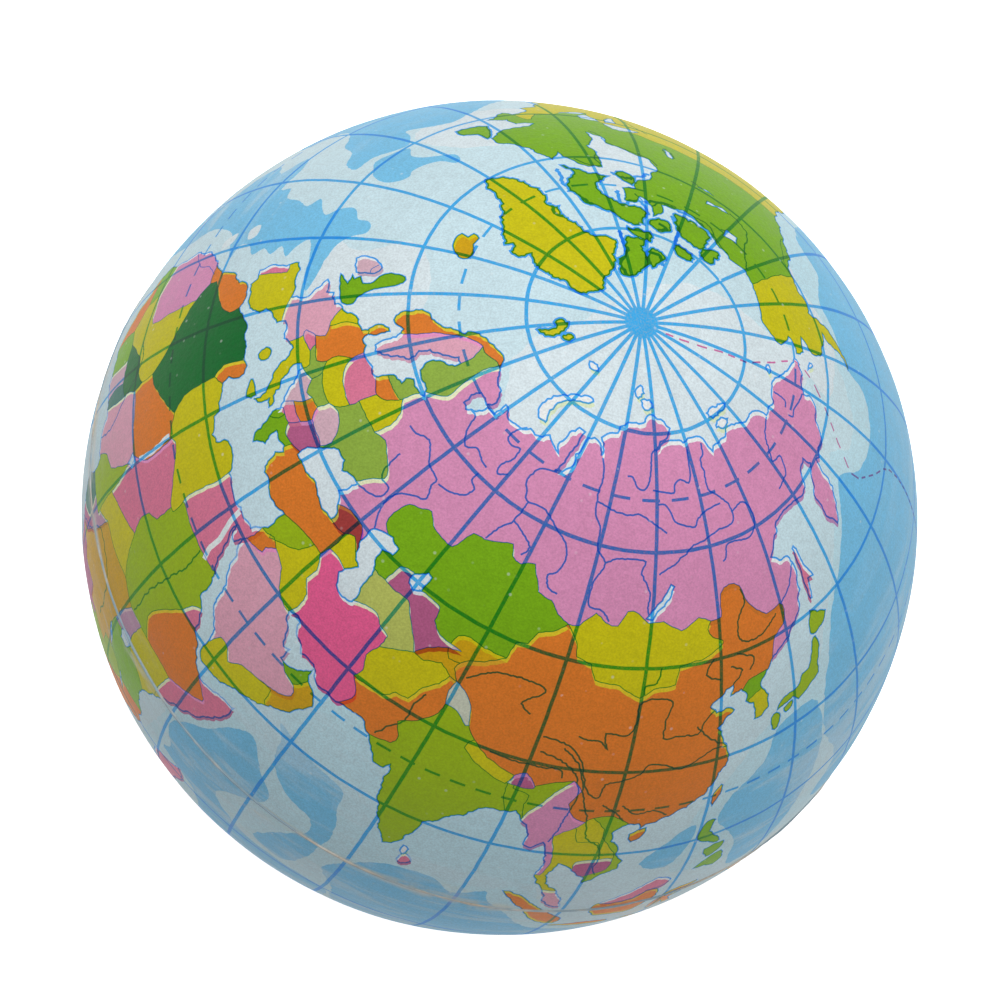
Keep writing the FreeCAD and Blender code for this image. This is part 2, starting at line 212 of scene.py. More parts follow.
BORDERS = """
    11.3 59, 12.3 61, 12.6 63.2, 14 65, 15.6 66.8, 18.4 68.4, 20.6 69 | 20.6 69, 23 69, 25.8 69.6, 28 70.1,
    31.4 70 | 24.3 65.8, 23.6 67.5, 20.6 69 | 29.8 70.1, 29 68.4, 29.8 66.6, 31 64.6, 32.2 62.6, 29 60.5 |
    28.4 59.5, 28 57.4, 31 56.4, 32.4 54.6, 32 52.4 | 20.9 56.4, 24.5 56.6, 28 57 | 28 57.2, 26.8 55.4,
    24.6 54.4, 22.8 54.6, 20.4 55 | 24.6 54.4, 24.4 52.4 | 24.4 52, 27 52.2, 32 52.4 | 32 52.4, 34.8 53.2,
    37 52.6, 40.4 51.6, 41.4 50.6, 40 49.4, 38.6 47.4 | 14.2 54, 14.8 52.4, 16.6 51.2, 20 50.6, 24.4 50.7,
    24.4 52.2 | 14.8 52.4, 13.4 50.6, 13.8 49, 15.8 48.2 | 15.8 48.2, 18.8 47.9, 22.4 48.2, 24 49.4,
    24.4 50.7 | 22.4 48.2, 24.6 49, 27.6 48.4, 29.8 46.8, 29.2 45.2 | 13.7 45.6, 16.4 46.6, 15.8 48.2 |
    22.4 48.2, 22.2 46.6, 20 46.2, 18.6 45.6, 16.4 46.6 | 22.2 46.6, 24 45.4, 28.6 45.4 | 20 46.2, 20 44.8,
    19.2 43.6, 18.6 42.4 | 24 45.4, 23.4 43.8, 20.6 43.6, 19.2 43.6 | 23.4 43.8, 22.6 42.2, 20.8 42, 19.6 42
    | 22.6 42.2, 24 41.4, 26.4 41.8, 28.2 42.4 | 20 39.8, 21 41, 20.8 42 | 26.4 41.8, 26.2 40.8 | 7.6 47.6,
    9.6 47.6, 13 47.6, 13.8 49 | 9.6 47.6, 10.6 46.8, 13.4 46.6, 13.7 45.6 | 7.6 47.6, 6 46.3, 7 45.9,
    8.6 46.2, 10.6 46.8 | 7 45.9, 7.5 43.8 | 7.6 47.6, 8.2 49, 6.2 49.6 | 2.6 51.2, 4.2 50.2, 6.2 49.6,
    6 51.8, 7 53.4 | 8.5 54.9, 10 54.8 | -1.7 43.4, 0.7 42.8, 3.1 42.5 | -8.8 41.9, -7.4 41.8, -7.6 39.7,
    -7.8 37.3 | -8.3 55.2, -7 54.2, -6 54.2 | -2 35.2, -1.6 33.6, -3.4 31.8, -6 30.6, -8.8 29.4, -8.8 28.2,
    -12.8 28 | -8.8 28.2, -6.4 26.2, -1 23.2, 1.6 21.4, 3.2 19.4 | -10.6 28.2, -12.6 26.4, -13.4 24,
    -16.8 21.4 | -6.4 26.2, -6.2 22, -6.4 16.4, -9.4 15.6, -12 15.2 | 3.2 19.4, 5.6 20.2, 9.2 22.6,
    11.6 24.4 | 11.6 24.4, 9.8 26.4, 9.4 29, 9.2 32 | 9.2 32, 7.8 33.6, 8.4 37 | 9.2 32, 11 33.3 |
    11.6 24.4, 14.6 23.2, 16 24, 17.6 23.8 | 17.6 23.8, 20 22.8, 24.4 20.6, 25.2 21 | 25.2 31.7, 25.2 21 |
    25.2 23.2, 30 23, 35.8 23.2 | 24.4 20.6, 24.4 17.2, 22.8 16, 22.6 13.6, 23.6 11.6 | 15.2 23.4, 15.8 19,
    15.4 17, 13.6 14.8 | 13.6 14.8, 9 15.2, 4 15.2, 3.4 12 | 13.6 14.8, 14.2 13.4 | 15.6 8, 15.4 10.4,
    14.2 13.4 | 4 15.2, 3.4 17 | 3.2 19.4, 3.4 17, 1.4 15.6, -1.4 15.2, -5.4 11.2 | 3.4 12, 2.8 6.6 |
    23.6 11.6, 21.4 10.6, 18.6 9.4, 15.6 8 | 23.6 11.6, 25.4 8.4, 27.4 6, 31 4.6 | 27.4 6, 22.4 5.2,
    18.6 5.2, 16 3, 15.6 8 | 14.2 13.4, 13.4 11, 12.4 8.4, 9.8 7.2, 8.6 4.8 | 3.4 12, 0.9 11, -2.8 11,
    -5.4 11.2, -8 10.2 | 1.2 6.1, 0.5 8.5, 0.9 11 | -3 5.1, -2.7 9.5, -2.8 11 | -8 10.2, -8.3 7.6, -7.6 4.6
    | -8 10.2, -11.5 12.4, -16.6 12.4 | -11.5 12.4, -12 15.2, -16.5 16.4 | 9.8 2.3, 13.2 2.2, 16 2.2, 16 3 |
    13.2 2.2, 14.4 -1.5, 11.2 -3.9 | 18.6 5.2, 17.4 0, 16.2 -2, 15.2 -4.3, 12.4 -5.9 | 31 4.6, 29.8 1,
    29.4 -4.6, 30.7 -8.3, 28.6 -9, 28.6 -12.4 | 12.4 -5.9, 16.5 -6, 17.6 -8, 21.8 -7.3, 22 -11, 24 -11,
    26 -12, 28.6 -12.4 | 31 4.6, 34 4.8, 35.8 4.8 | 35.8 4.8, 33.8 7.6, 34.4 10.4, 36 13.4, 37 15 | 37 15,
    37.6 17, 38.6 18 | 37 15, 39.6 15.2 | 35.8 4.8, 39.4 4.8, 41.8 4.6 | 41.8 4.6, 44.6 6, 47.4 7.8,
    46.8 8.8, 44.8 10.6 | 41.8 4.6, 41.2 1, 41.4 -1.8 | 34 4.8, 33.6 2, 34 -1 | 34 -1, 37.6 -3, 39.3 -4.7 |
    29.6 -1.2, 34 -1 | 30.7 -8.3, 33 -9.4, 34.6 -11.5, 40.4 -10.8 | 34.6 -11.5, 32.8 -14, 30.4 -15.6,
    27 -18, 24 -17.7 | 11.8 -17.3, 18.5 -17.4, 24 -17.7 | 24 -17.7, 22 -16, 22 -13, 24 -13, 24 -11 | 21 -18,
    20.8 -22, 20 -22, 20 -28.4, 16.6 -28.7 | 20 -25.5, 25.5 -25.5, 29.4 -22.2 | 25.2 -17.9, 27.4 -20.5,
    29.4 -22.2 | 29.4 -22.2, 31.3 -22.4, 32.8 -19.5, 32.8 -16.7, 30.4 -15.6 | 31.3 -22.4, 32 -25.8, 32.8 -27
    | 41.4 42, 43.4 42, 45 42.4 | 40.4 44, 42.4 44.8, 45.8 44.8, 47.4 43.6 | 45 42.4, 46.4 43.2, 48.4 42 |
    45 42.4, 45.2 39.6 | 45.2 39.6, 47 39.8, 49.2 39.4 | 45.2 39.6, 44.8 38, 44.8 38.6 | 36 36.9, 38.4 37.6,
    42 38.2, 44.8 38.2 | 43 38.2, 42 36, 40 34.8, 37.6 33.4 | 44.8 38.2, 46.4 36.4, 46.2 34.6, 48 33.2,
    48.4 31.4, 48 29.8 | 35.6 33.2, 36.8 33.4, 38 34, 39.6 33.4 | 39.6 33.4, 42.4 32.6, 44.4 30.6,
    46.8 29.6, 48 29.6 | 39.6 33.4, 38.4 32.2, 38.6 31.4, 37 30.8, 35.4 30.4 | 35.2 29.8, 35.8 31.6,
    35.6 33.2 | 42.8 16.2, 43.6 18.4, 45.4 18.2, 46.6 16.8, 48.4 18.4, 51.4 19 | 51.4 19, 53.6 19.2,
    53.8 17.2, 54.4 16.7 | 51.4 19, 54.6 19.8, 56.2 21, 55.6 22.4, 53.4 23 | 53.4 23, 51.7 24.1 | 53.4 23,
    55.4 22.6, 56.2 23.6, 56.8 24.6 | 53.8 37.4, 55.8 38.2, 58 38.4, 59.8 37.4, 61.6 37, 61.6 35.2 |
    61.6 35.2, 60.8 33.2, 61.8 31.2, 61.2 29.8 | 61.2 29.8, 62.8 28.2, 63 27, 61.8 25.2 | 61.6 35.2,
    64.2 36.4, 66.4 37.4, 68.4 37.2, 71 38.2, 73.2 37.2, 74.6 37 | 61.2 29.8, 66.2 30, 67.6 31.4, 69.6 31.6,
    70.6 34, 72.4 35.6, 73.2 37.2 | 67.8 24, 71 24.6, 71.4 26.2, 70.2 28, 72.6 29.6, 74.6 32, 74.8 33.6 |
    74.8 33.6, 76.8 33.4, 79 32 | 74.8 33.6, 74.2 35.4, 74.6 37 | 74.6 37, 77 36, 78.6 34.4, 79.6 32,
    81.2 30.6 | 81.2 30.6, 84 28.8, 88 27.6, 88.8 27.4 | 81.2 30.6, 80.4 29, 84 27, 88 25.8, 88.8 27.4 |
    88.8 27.4, 90.4 28.2, 92 26.8, 92.2 26, 90.4 25.8, 88.4 26 | 92.2 26.4, 94.4 27.4, 96.6 28, 97.6 28.2 |
    88.8 27.4, 88.4 26, 88.6 24, 89.6 21.6 | 88.4 26, 88 25.8 | 89.4 25.4, 92 24.8, 91.8 23.2, 92.4 21 |
    97.6 28.2, 95.4 26, 94 23.6, 92.8 22, 92.4 20.6 | 97.6 28.2, 99.2 26.6, 98 24.4, 99.4 22.2, 101.4 21.4 |
    101.4 21.4, 100.2 20.2, 97.8 18.4, 98.6 15.8, 99.2 13, 98.6 10 | 100.6 20, 101.4 17.6, 104.4 17.6,
    105.6 14.4 | 101.4 21.4, 102.4 22.2, 104.6 20.2, 104.8 18.6, 107.4 15.4, 107.6 14 | 102.4 22.2,
    105 22.6, 108 21 | 102.6 11.9, 102.6 13.4, 105.6 14, 107.6 14, 107.4 11.6, 106 10.8, 104.4 10 |
    100.2 6.4, 102 6.2 | 50.2 46.7, 48.4 47.4, 47.8 49, 48.6 51.2, 50.4 51.8, 52.8 52.7, 55 51.6, 58 51.2,
    60.6 51.2, 61.4 52.4 | 61.4 52.4, 62.4 54.2, 65 54.4, 68 55.2, 70.8 55.9, 72 54.6, 74.4 54.2, 77.2 55,
    80.2 52, 83.4 51.6, 85.6 50.2, 88.2 49.4 | 88.2 49.4, 86 48, 83.4 47.2, 82.4 45.4, 80.4 45, 80 42.6 |
    80 42.6, 76 42.6, 73 43, 71 42.4, 70.6 41 | 52.6 42.4, 55.4 42.4, 55.8 45, 58.2 45.6 | 61 44.4,
    65.6 44.2, 66.2 42.4, 68.4 41.2, 70.6 41 | 55.4 42.4, 58 42.2, 60.6 42.4, 62.4 41, 65 39, 66.4 37.4 |
    66.4 37.4, 67.8 39, 70.6 40.4, 72.8 40.8, 70.6 41 | 70.6 40.4, 71.6 39.2, 73.6 39.4 | 73.6 39.4,
    73.2 38.4, 74.6 37 | 80 42.6, 77 41, 74.6 40.2, 73.6 39.4 | 88.2 49.4, 90.4 49.6, 93 51.6, 95.4 50.6,
    98 50.4, 99.6 52.4, 102 52.2, 104.4 51, 107.6 51.2, 111.6 49.8, 115.4 51.2, 118.2 50.4, 120.6 50.6 |
    88.2 49.4, 91 47.2, 91.6 45.6, 94.6 45, 96 43, 100.6 42.6, 104.6 41, 107 42.2, 111 42.6, 111.6 45,
    116 45.4, 119.8 46.6, 120.6 47.4, 118.4 48.2, 117.4 49.4, 118.2 50.4 | 120.6 50.6, 121 53.6, 123.4 54.5,
    126 53.8, 127.4 51.2, 131.2 48.6, 134.8 49, 135.6 47.8, 134.6 46, 132.2 45, 131 42.3 | 124.4 39.6,
    125.6 40.6, 127.4 40.8, 129.6 41 | 125.6 37.8, 128.4 38.6 | -141 69.7, -141 60.2 | -139.4 60, -136 59.4,
    -134 58.2, -130.6 56, -130 54.6 | -123.4 48.9, -110 49, -95 49, -92.4 48.4, -89 48.2 | -84.6 46.6,
    -83.4 46 | -82.4 43.1, -82.8 42.2 | -79 43, -79 43.4 | -76.4 44.2, -74.7 45, -71.3 45.1, -69.2 47.4,
    -67.8 47, -67 45 | -117.1 32.6, -111 31.3, -106.5 31.7, -103 29, -101 29.7, -97.4 25.9 | -92.2 14.6,
    -91.2 17.3, -88.4 18.2 | -88.6 15.9, -89.3 14.4, -90 13.8 | -87.5 13, -85 14.6, -83.2 15 | -85.7 11.1,
    -83.7 10.9 | -82.9 8.4, -82.6 9.3 | -77.3 8.6, -77.9 7.2 | -71.4 11.8, -72.5 8, -67.5 6.2, -67 1.3 |
    -67 1.3, -69.7 0.8, -69.9 -4.2 | -69.9 -4.2, -72 -2.4, -75.2 -0.1, -78.8 1.4 | -80.3 -3.4, -78.3 -3.5,
    -75.2 -0.1 | -69.9 -4.2, -73.5 -7, -70.6 -9.5, -69.5 -11 | -69.5 -11, -69 -15.5, -69.5 -17.6,
    -70.4 -18.3 | -69.5 -11, -65.3 -10.5, -60.2 -13.7, -58.2 -17.5, -57.8 -20 | -57.8 -20, -62 -20.5,
    -62.7 -22.1, -67.5 -22.8, -69.5 -17.6 | -57.8 -20, -55.8 -22.3, -54.5 -25.5, -58.3 -27.2, -57.8 -25,
    -62.7 -22.1 | -67.5 -22.8, -69 -28, -70 -33, -71.3 -39, -71.7 -45, -73 -50, -69.5 -52.3, -68.6 -54.8 |
    -54.5 -25.5, -53.8 -27.2, -57.6 -30.2, -58.3 -33.9 | -57.6 -30.2, -53.3 -33.5 | -67 1.3, -64 2, -64 4,
    -61 5.2 | -60 8.2, -61 5.2, -59.8 4.5, -60 2, -56.5 1.9, -51.7 4.1 | -57.2 6.4, -56.5 1.9 | 129 -15,
    129 -32 | 138 -16.8, 138 -33 | 141 -26, 141 -38 | 129 -26, 138 -26, 141 -26, 141 -29, 153 -29"""

# A point inside each country, by colour.
COUNTRIES = {
    "pink": "-83.8 9.9, -58.4 -23.1, 100 63, -13 27, -10 20, 96 20, 18 0, 134 -20",
    "hot pink": "57 31",
    "rose": """
    19 16, 139.8 -31.6, 20.5 52.8, 29 28, 8.2 47, 47 9.5, 38.2 16.4, 21.6 43, -8.2 40, -102 25, -65 -35,
    25 -30""",
    "blush": "0 47, 17 60.5, 44 25, 8 11, 104 4",
    "shell": "16.9 44.8, 25.8 47.2, -1 7.6, 42 1, -75 -10, 24 -22",
    "magenta": "63 42.4, 25.5 44, 90.4 27, 105 12.6, 20 -12",
    "crimson": "44 43.4",
    "orange": """
    -86.7 14.7, -58.7 4.7, -71 -2.6, 105 32, 9 61.5, 10.5 52, 9.2 56, 32 39.4, -6 33, 9.4 35.4, 8 19, 39 9,
    73 31.2, 66 27.6, 37.4 32, 22 55.8, 20.6 45.6, 122 47, -10 8, 30 -18, -73 4, -90 15.4, 146 -22, 34 -20""",
    "amber": "23.2 3.9, 23.9 -6.8, 76 41.8, 72.4 38.8, 57 20.6, 23 0, -64 -17",
    "yellow": """
    -84.9 12.8, 47.4 41, 37.1 3.4, 37.9 -2.4, 134.4 -30, -4 40, 12 43.4, 29 54, 19 49.4, 17 28, 47.5 32,
    46 15, 65 33.4, 104 46.5, 102.4 19.4, 101 15, -3 20, 20 7, 37.5 1, 127.5 36.4, -150 65, -100 40,
    5.4 51.2, 84 28, -58 -33""",
    "leaf": "93 24.6, 17 -22, 39 36, 79 22, 30 14, 90.6 24.4, 106.6 18, 12.4 6, -70 -30, 28 -14, 125 -25",
    "green": """
    -80 8.5, -50 -10, -60 0.8, 65 48.5, 22.4 39.8, 127.6 39.6, 55 24.2, -100 60, -13 13.4, 35 -6, -66 8,
    -3 10, 145 -32""",
    "meadow": "28 63.5, 26.5 58, 35 50, 14 48.4, 17.8 46.6",
    "forest": "2 29, 0 13",
    "teal": "2 8.5, 11.4 1.5, 11.3 -2.4",
    "olive": "58.5 40",
    "cream": "77 34.6",
    "lilac": "16.4 2.4, 33 1.5, 30.5 -0.9, -56 4, -78 -1",
}

RIVERS = """
    -94.6 58.4, -92.6 57, -88 56.3, -82.6 55, -81.6 52.6, -79.6 51.4 | -78.4 58.2, -76.6 60.2, -77.6 62,
    -73.6 61.8, -70.6 60.4 | -97.6 53.6, -96.6 51.6, -97.6 50.4 | -99.4 53.4, -98.4 51.4 | -104 58.6,
    -108.6 59.2 | -118 66.2, -121.6 65.2 | -104 67.6, -110 67.4, -114.6 67.4, -119.6 69.2, -126.6 69.8 |
    -86 67.6, -92 69.4, -95.6 67.8, -101.4 67.6 | 54.4 68.6, 52.8 67.6, 52.4 66, 55 65.6, 57.6 66, 58 64.4,
    56.6 62.8, 57.6 61.8, 59.8 62.6 | 39 64.4, 41.4 64.4, 43 62.8, 46.4 61.2, 49 62.2, 52 61.6, 54.4 61.4 |
    71 66.4, 66 65.6, 64.8 63.6, 66.6 62.4, 68 61.4, 73.6 61.6, 78 60.2, 82 58.6, 83 56.6, 82 55, 80.6 54.4,
    81.6 53, 84 52.6 | 68.6 61.4, 68 58.4, 66 56.6, 65 54.6 | 68 58.4, 71 57.8, 74.4 56.6, 73.4 55.2 |
    83.4 70.6, 85 69.4, 85.6 68, 85.8 65.6, 86.6 63.6, 89 62, 89.6 59.6, 92.4 58, 91.4 56.4, 90.6 55,
    91 52.4, 94 52, 96 50.8 | 86 65.2, 90 64.8, 95 64.4, 100 64.6, 105 63.4, 108 62.4 | 92.4 58, 95 58.8,
    99 59, 102.4 58.8, 101.6 57.2, 104 55, 103.8 53, 104.4 51.8 | 127 72.8, 126 71.4, 124 70.8, 124 69,
    123.6 67, 126 66, 128.6 64.6, 129.4 63, 128 61.8, 123 61.6, 118 60.8, 115 60.4, 111 58.8, 106 57.2 |
    126.4 64.8, 122 64.6, 118 63.8, 116.6 62.8, 113.4 63.2, 110.6 63.8, 109.4 65, 107.6 66, 105.4 66 |
    129.4 63.2, 133 63.8, 135 63, 135.4 61, 133 59.4, 130.6 59.2, 127 59.6, 124.8 59.4, 124 58, 123 57.6 |
    119.6 72.6, 119 71.4, 118.4 69.6, 117 68.4, 114 69, 111.6 68.4, 111 67.4, 107 67.6, 103.6 67.8 | 105 73,
    103.2 72.4, 103 71, 102.4 69, 100.6 67.8, 98 68, 96 69.2, 94 69.2 | 161 69.5, 158 69, 154 68,
    151.6 66.2, 150.6 65.2, 154 65, 153.4 64, 152 62.8, 148.6 62.2, 147 62 | 178.4 65, 174 65.6, 171 66,
    168.6 65.8, 168 66.6 | 172.4 69.8, 172 67.8, 169.6 67.4 | 47.8 45.8, 46 47.4, 45 49.4, 45.6 51, 48 52.4,
    50 53.2, 48.6 54.8, 48.4 55.8, 44.8 56.2, 43 57, 40 58, 37 57, 34.6 56.8 | 49.4 55.6, 52.4 56, 55.2 57,
    56 58.4, 54 59, 54 60.2 | 39.4 47.4, 42 48, 43.8 49, 43.4 50.4, 41 50.4, 39.6 51.6, 39 54 | 141 52.8,
    137.6 50, 135 48.8 | 126 53.4, 126.6 51.6, 124.6 49.6, 124 47.4, 125.6 46.2, 130 46.4, 133.4 48 |
    123.4 45, 127 43.6, 126 42 | 122 43.4, 124.4 42.4, 122.4 40.8 | 118.6 45.2, 117 43.2, 120 42 | 96 35,
    97.6 34.6, 99.6 34.6, 101 33.6, 100.2 35.8, 103.6 35.6, 105 37.4, 104.8 40, 107.4 40.8, 110.8 40.2,
    110.2 38, 110 35, 112.6 35, 116 34.8, 117 36.4, 119 38 | 115.8 36, 118.4 33.6, 121.6 32 | 90.6 34,
    94 33.8, 96.4 32.6, 98 30.8, 99.2 28, 100.6 26.2, 102 25.8, 102.4 28, 104.8 28.6, 107.4 29.6, 108.4 31,
    111 30.8, 113.6 29.8, 116.4 30.6, 119 31.8, 121.6 31.6 | 94.4 33, 97 31.2, 98.8 28.4, 100 25, 101.4 22,
    102.4 18.4, 104.6 17, 105.6 14.4, 105.4 12, 106.2 10.4 | 91 31.8, 94.4 31.2, 97.4 29.4, 98.8 26.2,
    98.6 23.6, 98 20, 97.4 17.2 | 75.6 38, 79 40.2, 83 40.8, 87 40.8, 88.4 40, 86.4 38.6, 85.4 37.6,
    87.4 36.6 | 106 24.4, 108.4 22.8, 111 23.2, 113.4 22 | 103 24.6, 105.4 23.2, 107 21.6 | 71.6 33.4,
    70.8 31, 71 28.6, 69.6 26.8, 68.4 24.6 | 105.4 41.4, 105.4 42.6, 107.4 43, 108 45 | 84 29.8, 88 29.6,
    92 29.6, 95 29.6, 95.6 28.4 | -135 68.8, -128 66, -124 62, -117 61 | -51 -0.6, -58 -3, -66 -3, -73 -4 |
    -90 29.4, -91 34, -89.6 38, -91 43, -94 46 | 32.4 22.8, 33 19.4, 32.4 15.6, 31.6 10, 31.6 5 | 12.4 -6,
    16 -2, 18 2, 22 2, 25.4 -1, 26 -8 | 6 4.6, 6.6 8, 4 12, 0 16, -4 15"""

# Heavy strokes where the ink of the shores runs together.
SHORE_STROKES = """
    -64 62.5, -62 66, -64.5 68.5, -69 71, -73.5 72 | -79.5 63.5, -84 64.5, -92 62 | -80 67.5, -80 70.5,
    -87 69, -91 71.5 | -100 70, -104.5 72, -105.5 75 | -74 75.5, -75.5 79, -67 81, -70.5 83 | -90 78.5,
    -99.5 78.5, -103 80 | -89.5 69, -95.5 68, -104 68, -109.5 68, -118.5 69 | -95.5 72.5, -99.5 73, -94.5 74
    | -52.5 68.5, -50.5 70.5, -52.5 71.5"""

# Unprinted strips.
WHITE_STRIPS = "31.4 31.2, 31.9 29, 33 26.4, 33 24.6, 33.8 22.8 | 14.6 23, 15.2 19, 14.8 16"

DATE_LINE = """
    170 86.6, 172 84.4, 175 81.4, 178 78.6, 178.6 74.4, 181 73.2, 184.4 70.4, 186.4 69, 188.8 66.6,
    188 65.2, 184.6 63.2, 179 60.6, 172.6 57, 169.6 54, 169 52.8, 169.8 51, 172 49.4, 174.6 47.4,
    177.6 45.4, 179 43.4, 179.6 41, 180 37, 180 20, 180 0.5, 180 -5, 187.5 -10, 187.5 -30, 187.5 -45,
    180 -51, 180 -70"""

# Sea depth areas, drawn in order under the land: the tone, then its outlines.
SEA_AREAS = [
    ("shelf", """
    28 72, 60 66, 100 70, 140 68, 168 67, 188 64, 198 71, 216 76, 240 81, 300 85.6, 350 84.4, 14 82 |
    -24 46, -14 48.6, -12 53, -16 58, -8 62, 4 62, 12 57, 6 50, 0 47, -4 45.4, -12 45 | -96 66, -96 50,
    -76 50, -72 62, -80 68 | 14 53, 30 53, 32 62, 26 67, 16 64 | 26 40, 42 40, 56 36, 58 48, 44 50, 28 48 |
    -60 41, -48 42.4, -46 48, -55 54, -70 54, -72 43 | 182 60, 194 58, 204 55, 216 52, 226 50, 232 54,
    222 62, 206 62, 194 66"""),
    ("mid", """
    -24.6 37, -23 39.4, -25 40.8, -22.6 42.2, -20.8 43.6, -22.4 45, -23.2 46.8, -22.4 48, -20.2 49,
    -20 50.6, -18.6 51.5, -16.6 51.3, -15.6 49.6, -13.4 48, -10 47.2, -5 46.4, -2.6 45.4, -6 44.7, -10 44.6,
    -14.6 43.4, -13 41.6, -11 40.6, -13.6 39.2, -12 37.8, -13.6 36.2, -12.6 34.4, -15 33, -15.4 31,
    -13 30.2, -16.4 28.6, -19 27.4, -21 24, -22 20, -21 15, -22 8, -18 3, -10 -1, 0 -3, 4 -10, -4 -16,
    -14 -6, -26 0, -30 8, -29 16, -34 20, -36 24, -33 27, -37 29.4, -33 31.4, -28 31.4, -28 33.4,
    -25.4 34.4"""),
    ("shelf", """
    -19.4 33, -17 33.4, -16.4 32, -18.6 31.4 | -18.6 29, -16.6 29, -15.4 27.4, -17.4 27"""),
    ("mid", """
    -46.4 52.2, -45.8 53.8, -44 54, -42.6 52, -39.4 50.8, -36.6 50.4, -35 50.9, -32.8 50.2, -31.4 48.4,
    -32.4 46, -34 45, -36.6 43.6, -40 44.4, -43 45.6, -41 47.4, -41.6 49.2, -44 50.8 | -44 44.6, -41 44,
    -38 42.4, -33.6 42, -34.6 39.4, -38.4 37.6, -40.2 34.4, -44 31.6, -46 27, -42 22, -48 14, -54 10,
    -60 14, -66 21, -74 26, -72 33, -66 38, -60 41.6, -56 43.2, -52 42.6, -48 40.4, -46.8 42.4 | -38 6,
    -30 4, -22 -8, -17 -20, -20 -32, -27 -42, -38 -48, -50 -50, -48 -40, -40 -33, -36 -22, -30 -12, -34 -2 |
    -9 -12, 2 -14, 8 -22, 10 -32, 2 -42, -8 -46, -10 -34, -7 -22"""),
    ("pale", """
    42 8, 44.6 12.6, 52 16, 58 25, 66 27, 78 24, 90 26, 98 20, 99 8, 104 -4, 116 -12, 116 -34, 60 -40,
    40 -30, 44 -2 | 118 8, 118 19.6, 122 25, 129 32, 139 34.4, 143 40, 150 47, 158 53, 168 58, 180 54,
    236 56, 262 10, 240 -40, 160 -40, 140 2"""),
    ("mid", """
    57.4 16.4, 60.6 15.4, 64 14.6, 67.6 14, 69.6 13, 70 10, 71 7, 71.6 3, 71 0, 70.4 -6, 68 -12, 63 -10,
    66 -3, 68.6 1, 68 4.6, 64 6, 61 8.4, 59.4 11, 58.8 14.2 | 56.4 10.4, 54.4 10.6, 52 8, 50 4.4, 47 1,
    45.4 -3, 47 -8, 46 -11, 52 -13, 54 -22, 50 -30, 58 -33, 74 -30, 76 -16, 70 -14, 62 -13, 56 -8, 57 -4,
    61 0, 62 2, 61.6 4, 59 6.6 | 75.6 0, 78.4 3, 81 4.2, 86 4.4, 89 2, 93 4.4, 94 2, 98 -2, 103 -8, 112 -11,
    120 -12, 116 -18, 108 -22, 104 -30, 92 -34, 84 -28, 78 -22, 76 -12, 73 -6 | 50 -30, 58 -28, 66 -32,
    78 -42, 96 -46, 112 -44, 124 -40, 132 -44, 120 -52, 96 -56, 74 -50, 58 -44, 48 -38 | 112 12, 116 17,
    119 18.4, 118.8 14, 116.6 10 | 122.6 18, 124 22.4, 129 26, 131 30.6, 135.4 32, 140 31, 141 22, 139 12,
    136 4, 130 2, 128 6, 127.6 10, 125.6 14 | 142 23, 141.6 30, 143.6 37, 147 43, 152 46.6, 158.6 51,
    164.4 54.8, 168 53.8, 171 51.6, 177 50.2, 184 50, 190.6 51.4, 193 54, 196 55.6, 204 56, 211 56.6,
    216 54.2, 220 51.6, 228 50, 232 44, 233 36, 238 30, 244 24, 250 16, 256 8, 262 0, 256 -12, 244 -22,
    236 -34, 226 -44, 208 -52, 190 -56, 186 -46, 180 -34, 178 -24, 184 -14, 176 -8, 170 0, 160 3, 150 4,
    143 8, 146 15 | 256 -36, 264 -30, 272 -24, 280 -22, 284 -30, 280 -42, 268 -52, 256 -56, 246 -50 |
    258 12, 266 9, 274 3, 276 -8, 270 -14, 262 -6 | -94 27, -88 27.6, -85.6 25, -88 23, -94 22 | -80 16,
    -74 16.6, -66 15.6, -68 12.8, -76 12 | -36 -60, -10 -58, 10 -60, 20 -64, 0 -67, -24 -67, -40 -64 |
    156 -30, 162 -31, 164 -38, 158 -42, 153 -38 | -120 -62, -100 -60, -84 -62, -90 -66, -110 -68,
    -130 -67"""),
]


# ---------------------------------------------------------------------------------------------
# Colours (sRGB, 0 to 255), print sizes (degrees on the ball), light and camera
# ---------------------------------------------------------------------------------------------

# Each land colour, and what is left of it where the magenta plate doesn't reach.
WHITE = (240, 243, 243)
FILL = {
    "pink": ((223, 147, 189), WHITE),
    "blush": ((229, 168, 189), WHITE),
    "rose": ((226, 124, 156), WHITE),
    "shell": ((218, 180, 194), WHITE),
    "hot pink": ((248, 98, 152), WHITE),
    "magenta": ((186, 96, 140), (222, 226, 232)),
    "lilac": ((194, 150, 178), (226, 230, 234)),
    "crimson": ((168, 62, 60), (205, 185, 80)),
    "orange": ((227, 126, 52), (228, 202, 52)),
    "amber": ((213, 166, 20), (218, 200, 16)),
    "yellow": ((208, 199, 12),) * 2,
    "leaf": ((158, 188, 14),) * 2,
    "green": ((124, 178, 16),) * 2,
    "meadow": ((148, 181, 68),) * 2,
    "forest": ((4, 104, 40),) * 2,
    "teal": ((62, 120, 106),) * 2,
    "olive": ((190, 198, 100),) * 2,
    "cream": ((206, 210, 190),) * 2,
    "white": (WHITE, WHITE),
}
MOST_SPILL = (1, 1, 0.65)  # the magenta layer never lets more light through than this
SEA = {"sea": (207, 232, 240), "shelf": (223, 236, 241), "mid": (122, 199, 238), "pale": (197, 231, 242)}
BARE = (238, 242, 243)  # the white film where no colour layer reaches
INK = (76, 176, 255)  # the blue line layer multiplies what lies under it
RED_INK = (236, 120, 176)
GRID_INK = (58, 184, 248)
PALE_STREAK = (208, 230, 240)
RUBBED_FILM = (226, 224, 212)
PINHOLE = (246, 248, 248)
DIRTY_FOAM, CLEAN_FOAM = (208, 198, 182), (230, 225, 215)
# painted shade: the colour that darkens the hollow middles of the foam's cut cells
PAINTED_PORE_SHADE = (168, 146, 126)
INKED_FOAM = (150, 186, 206)
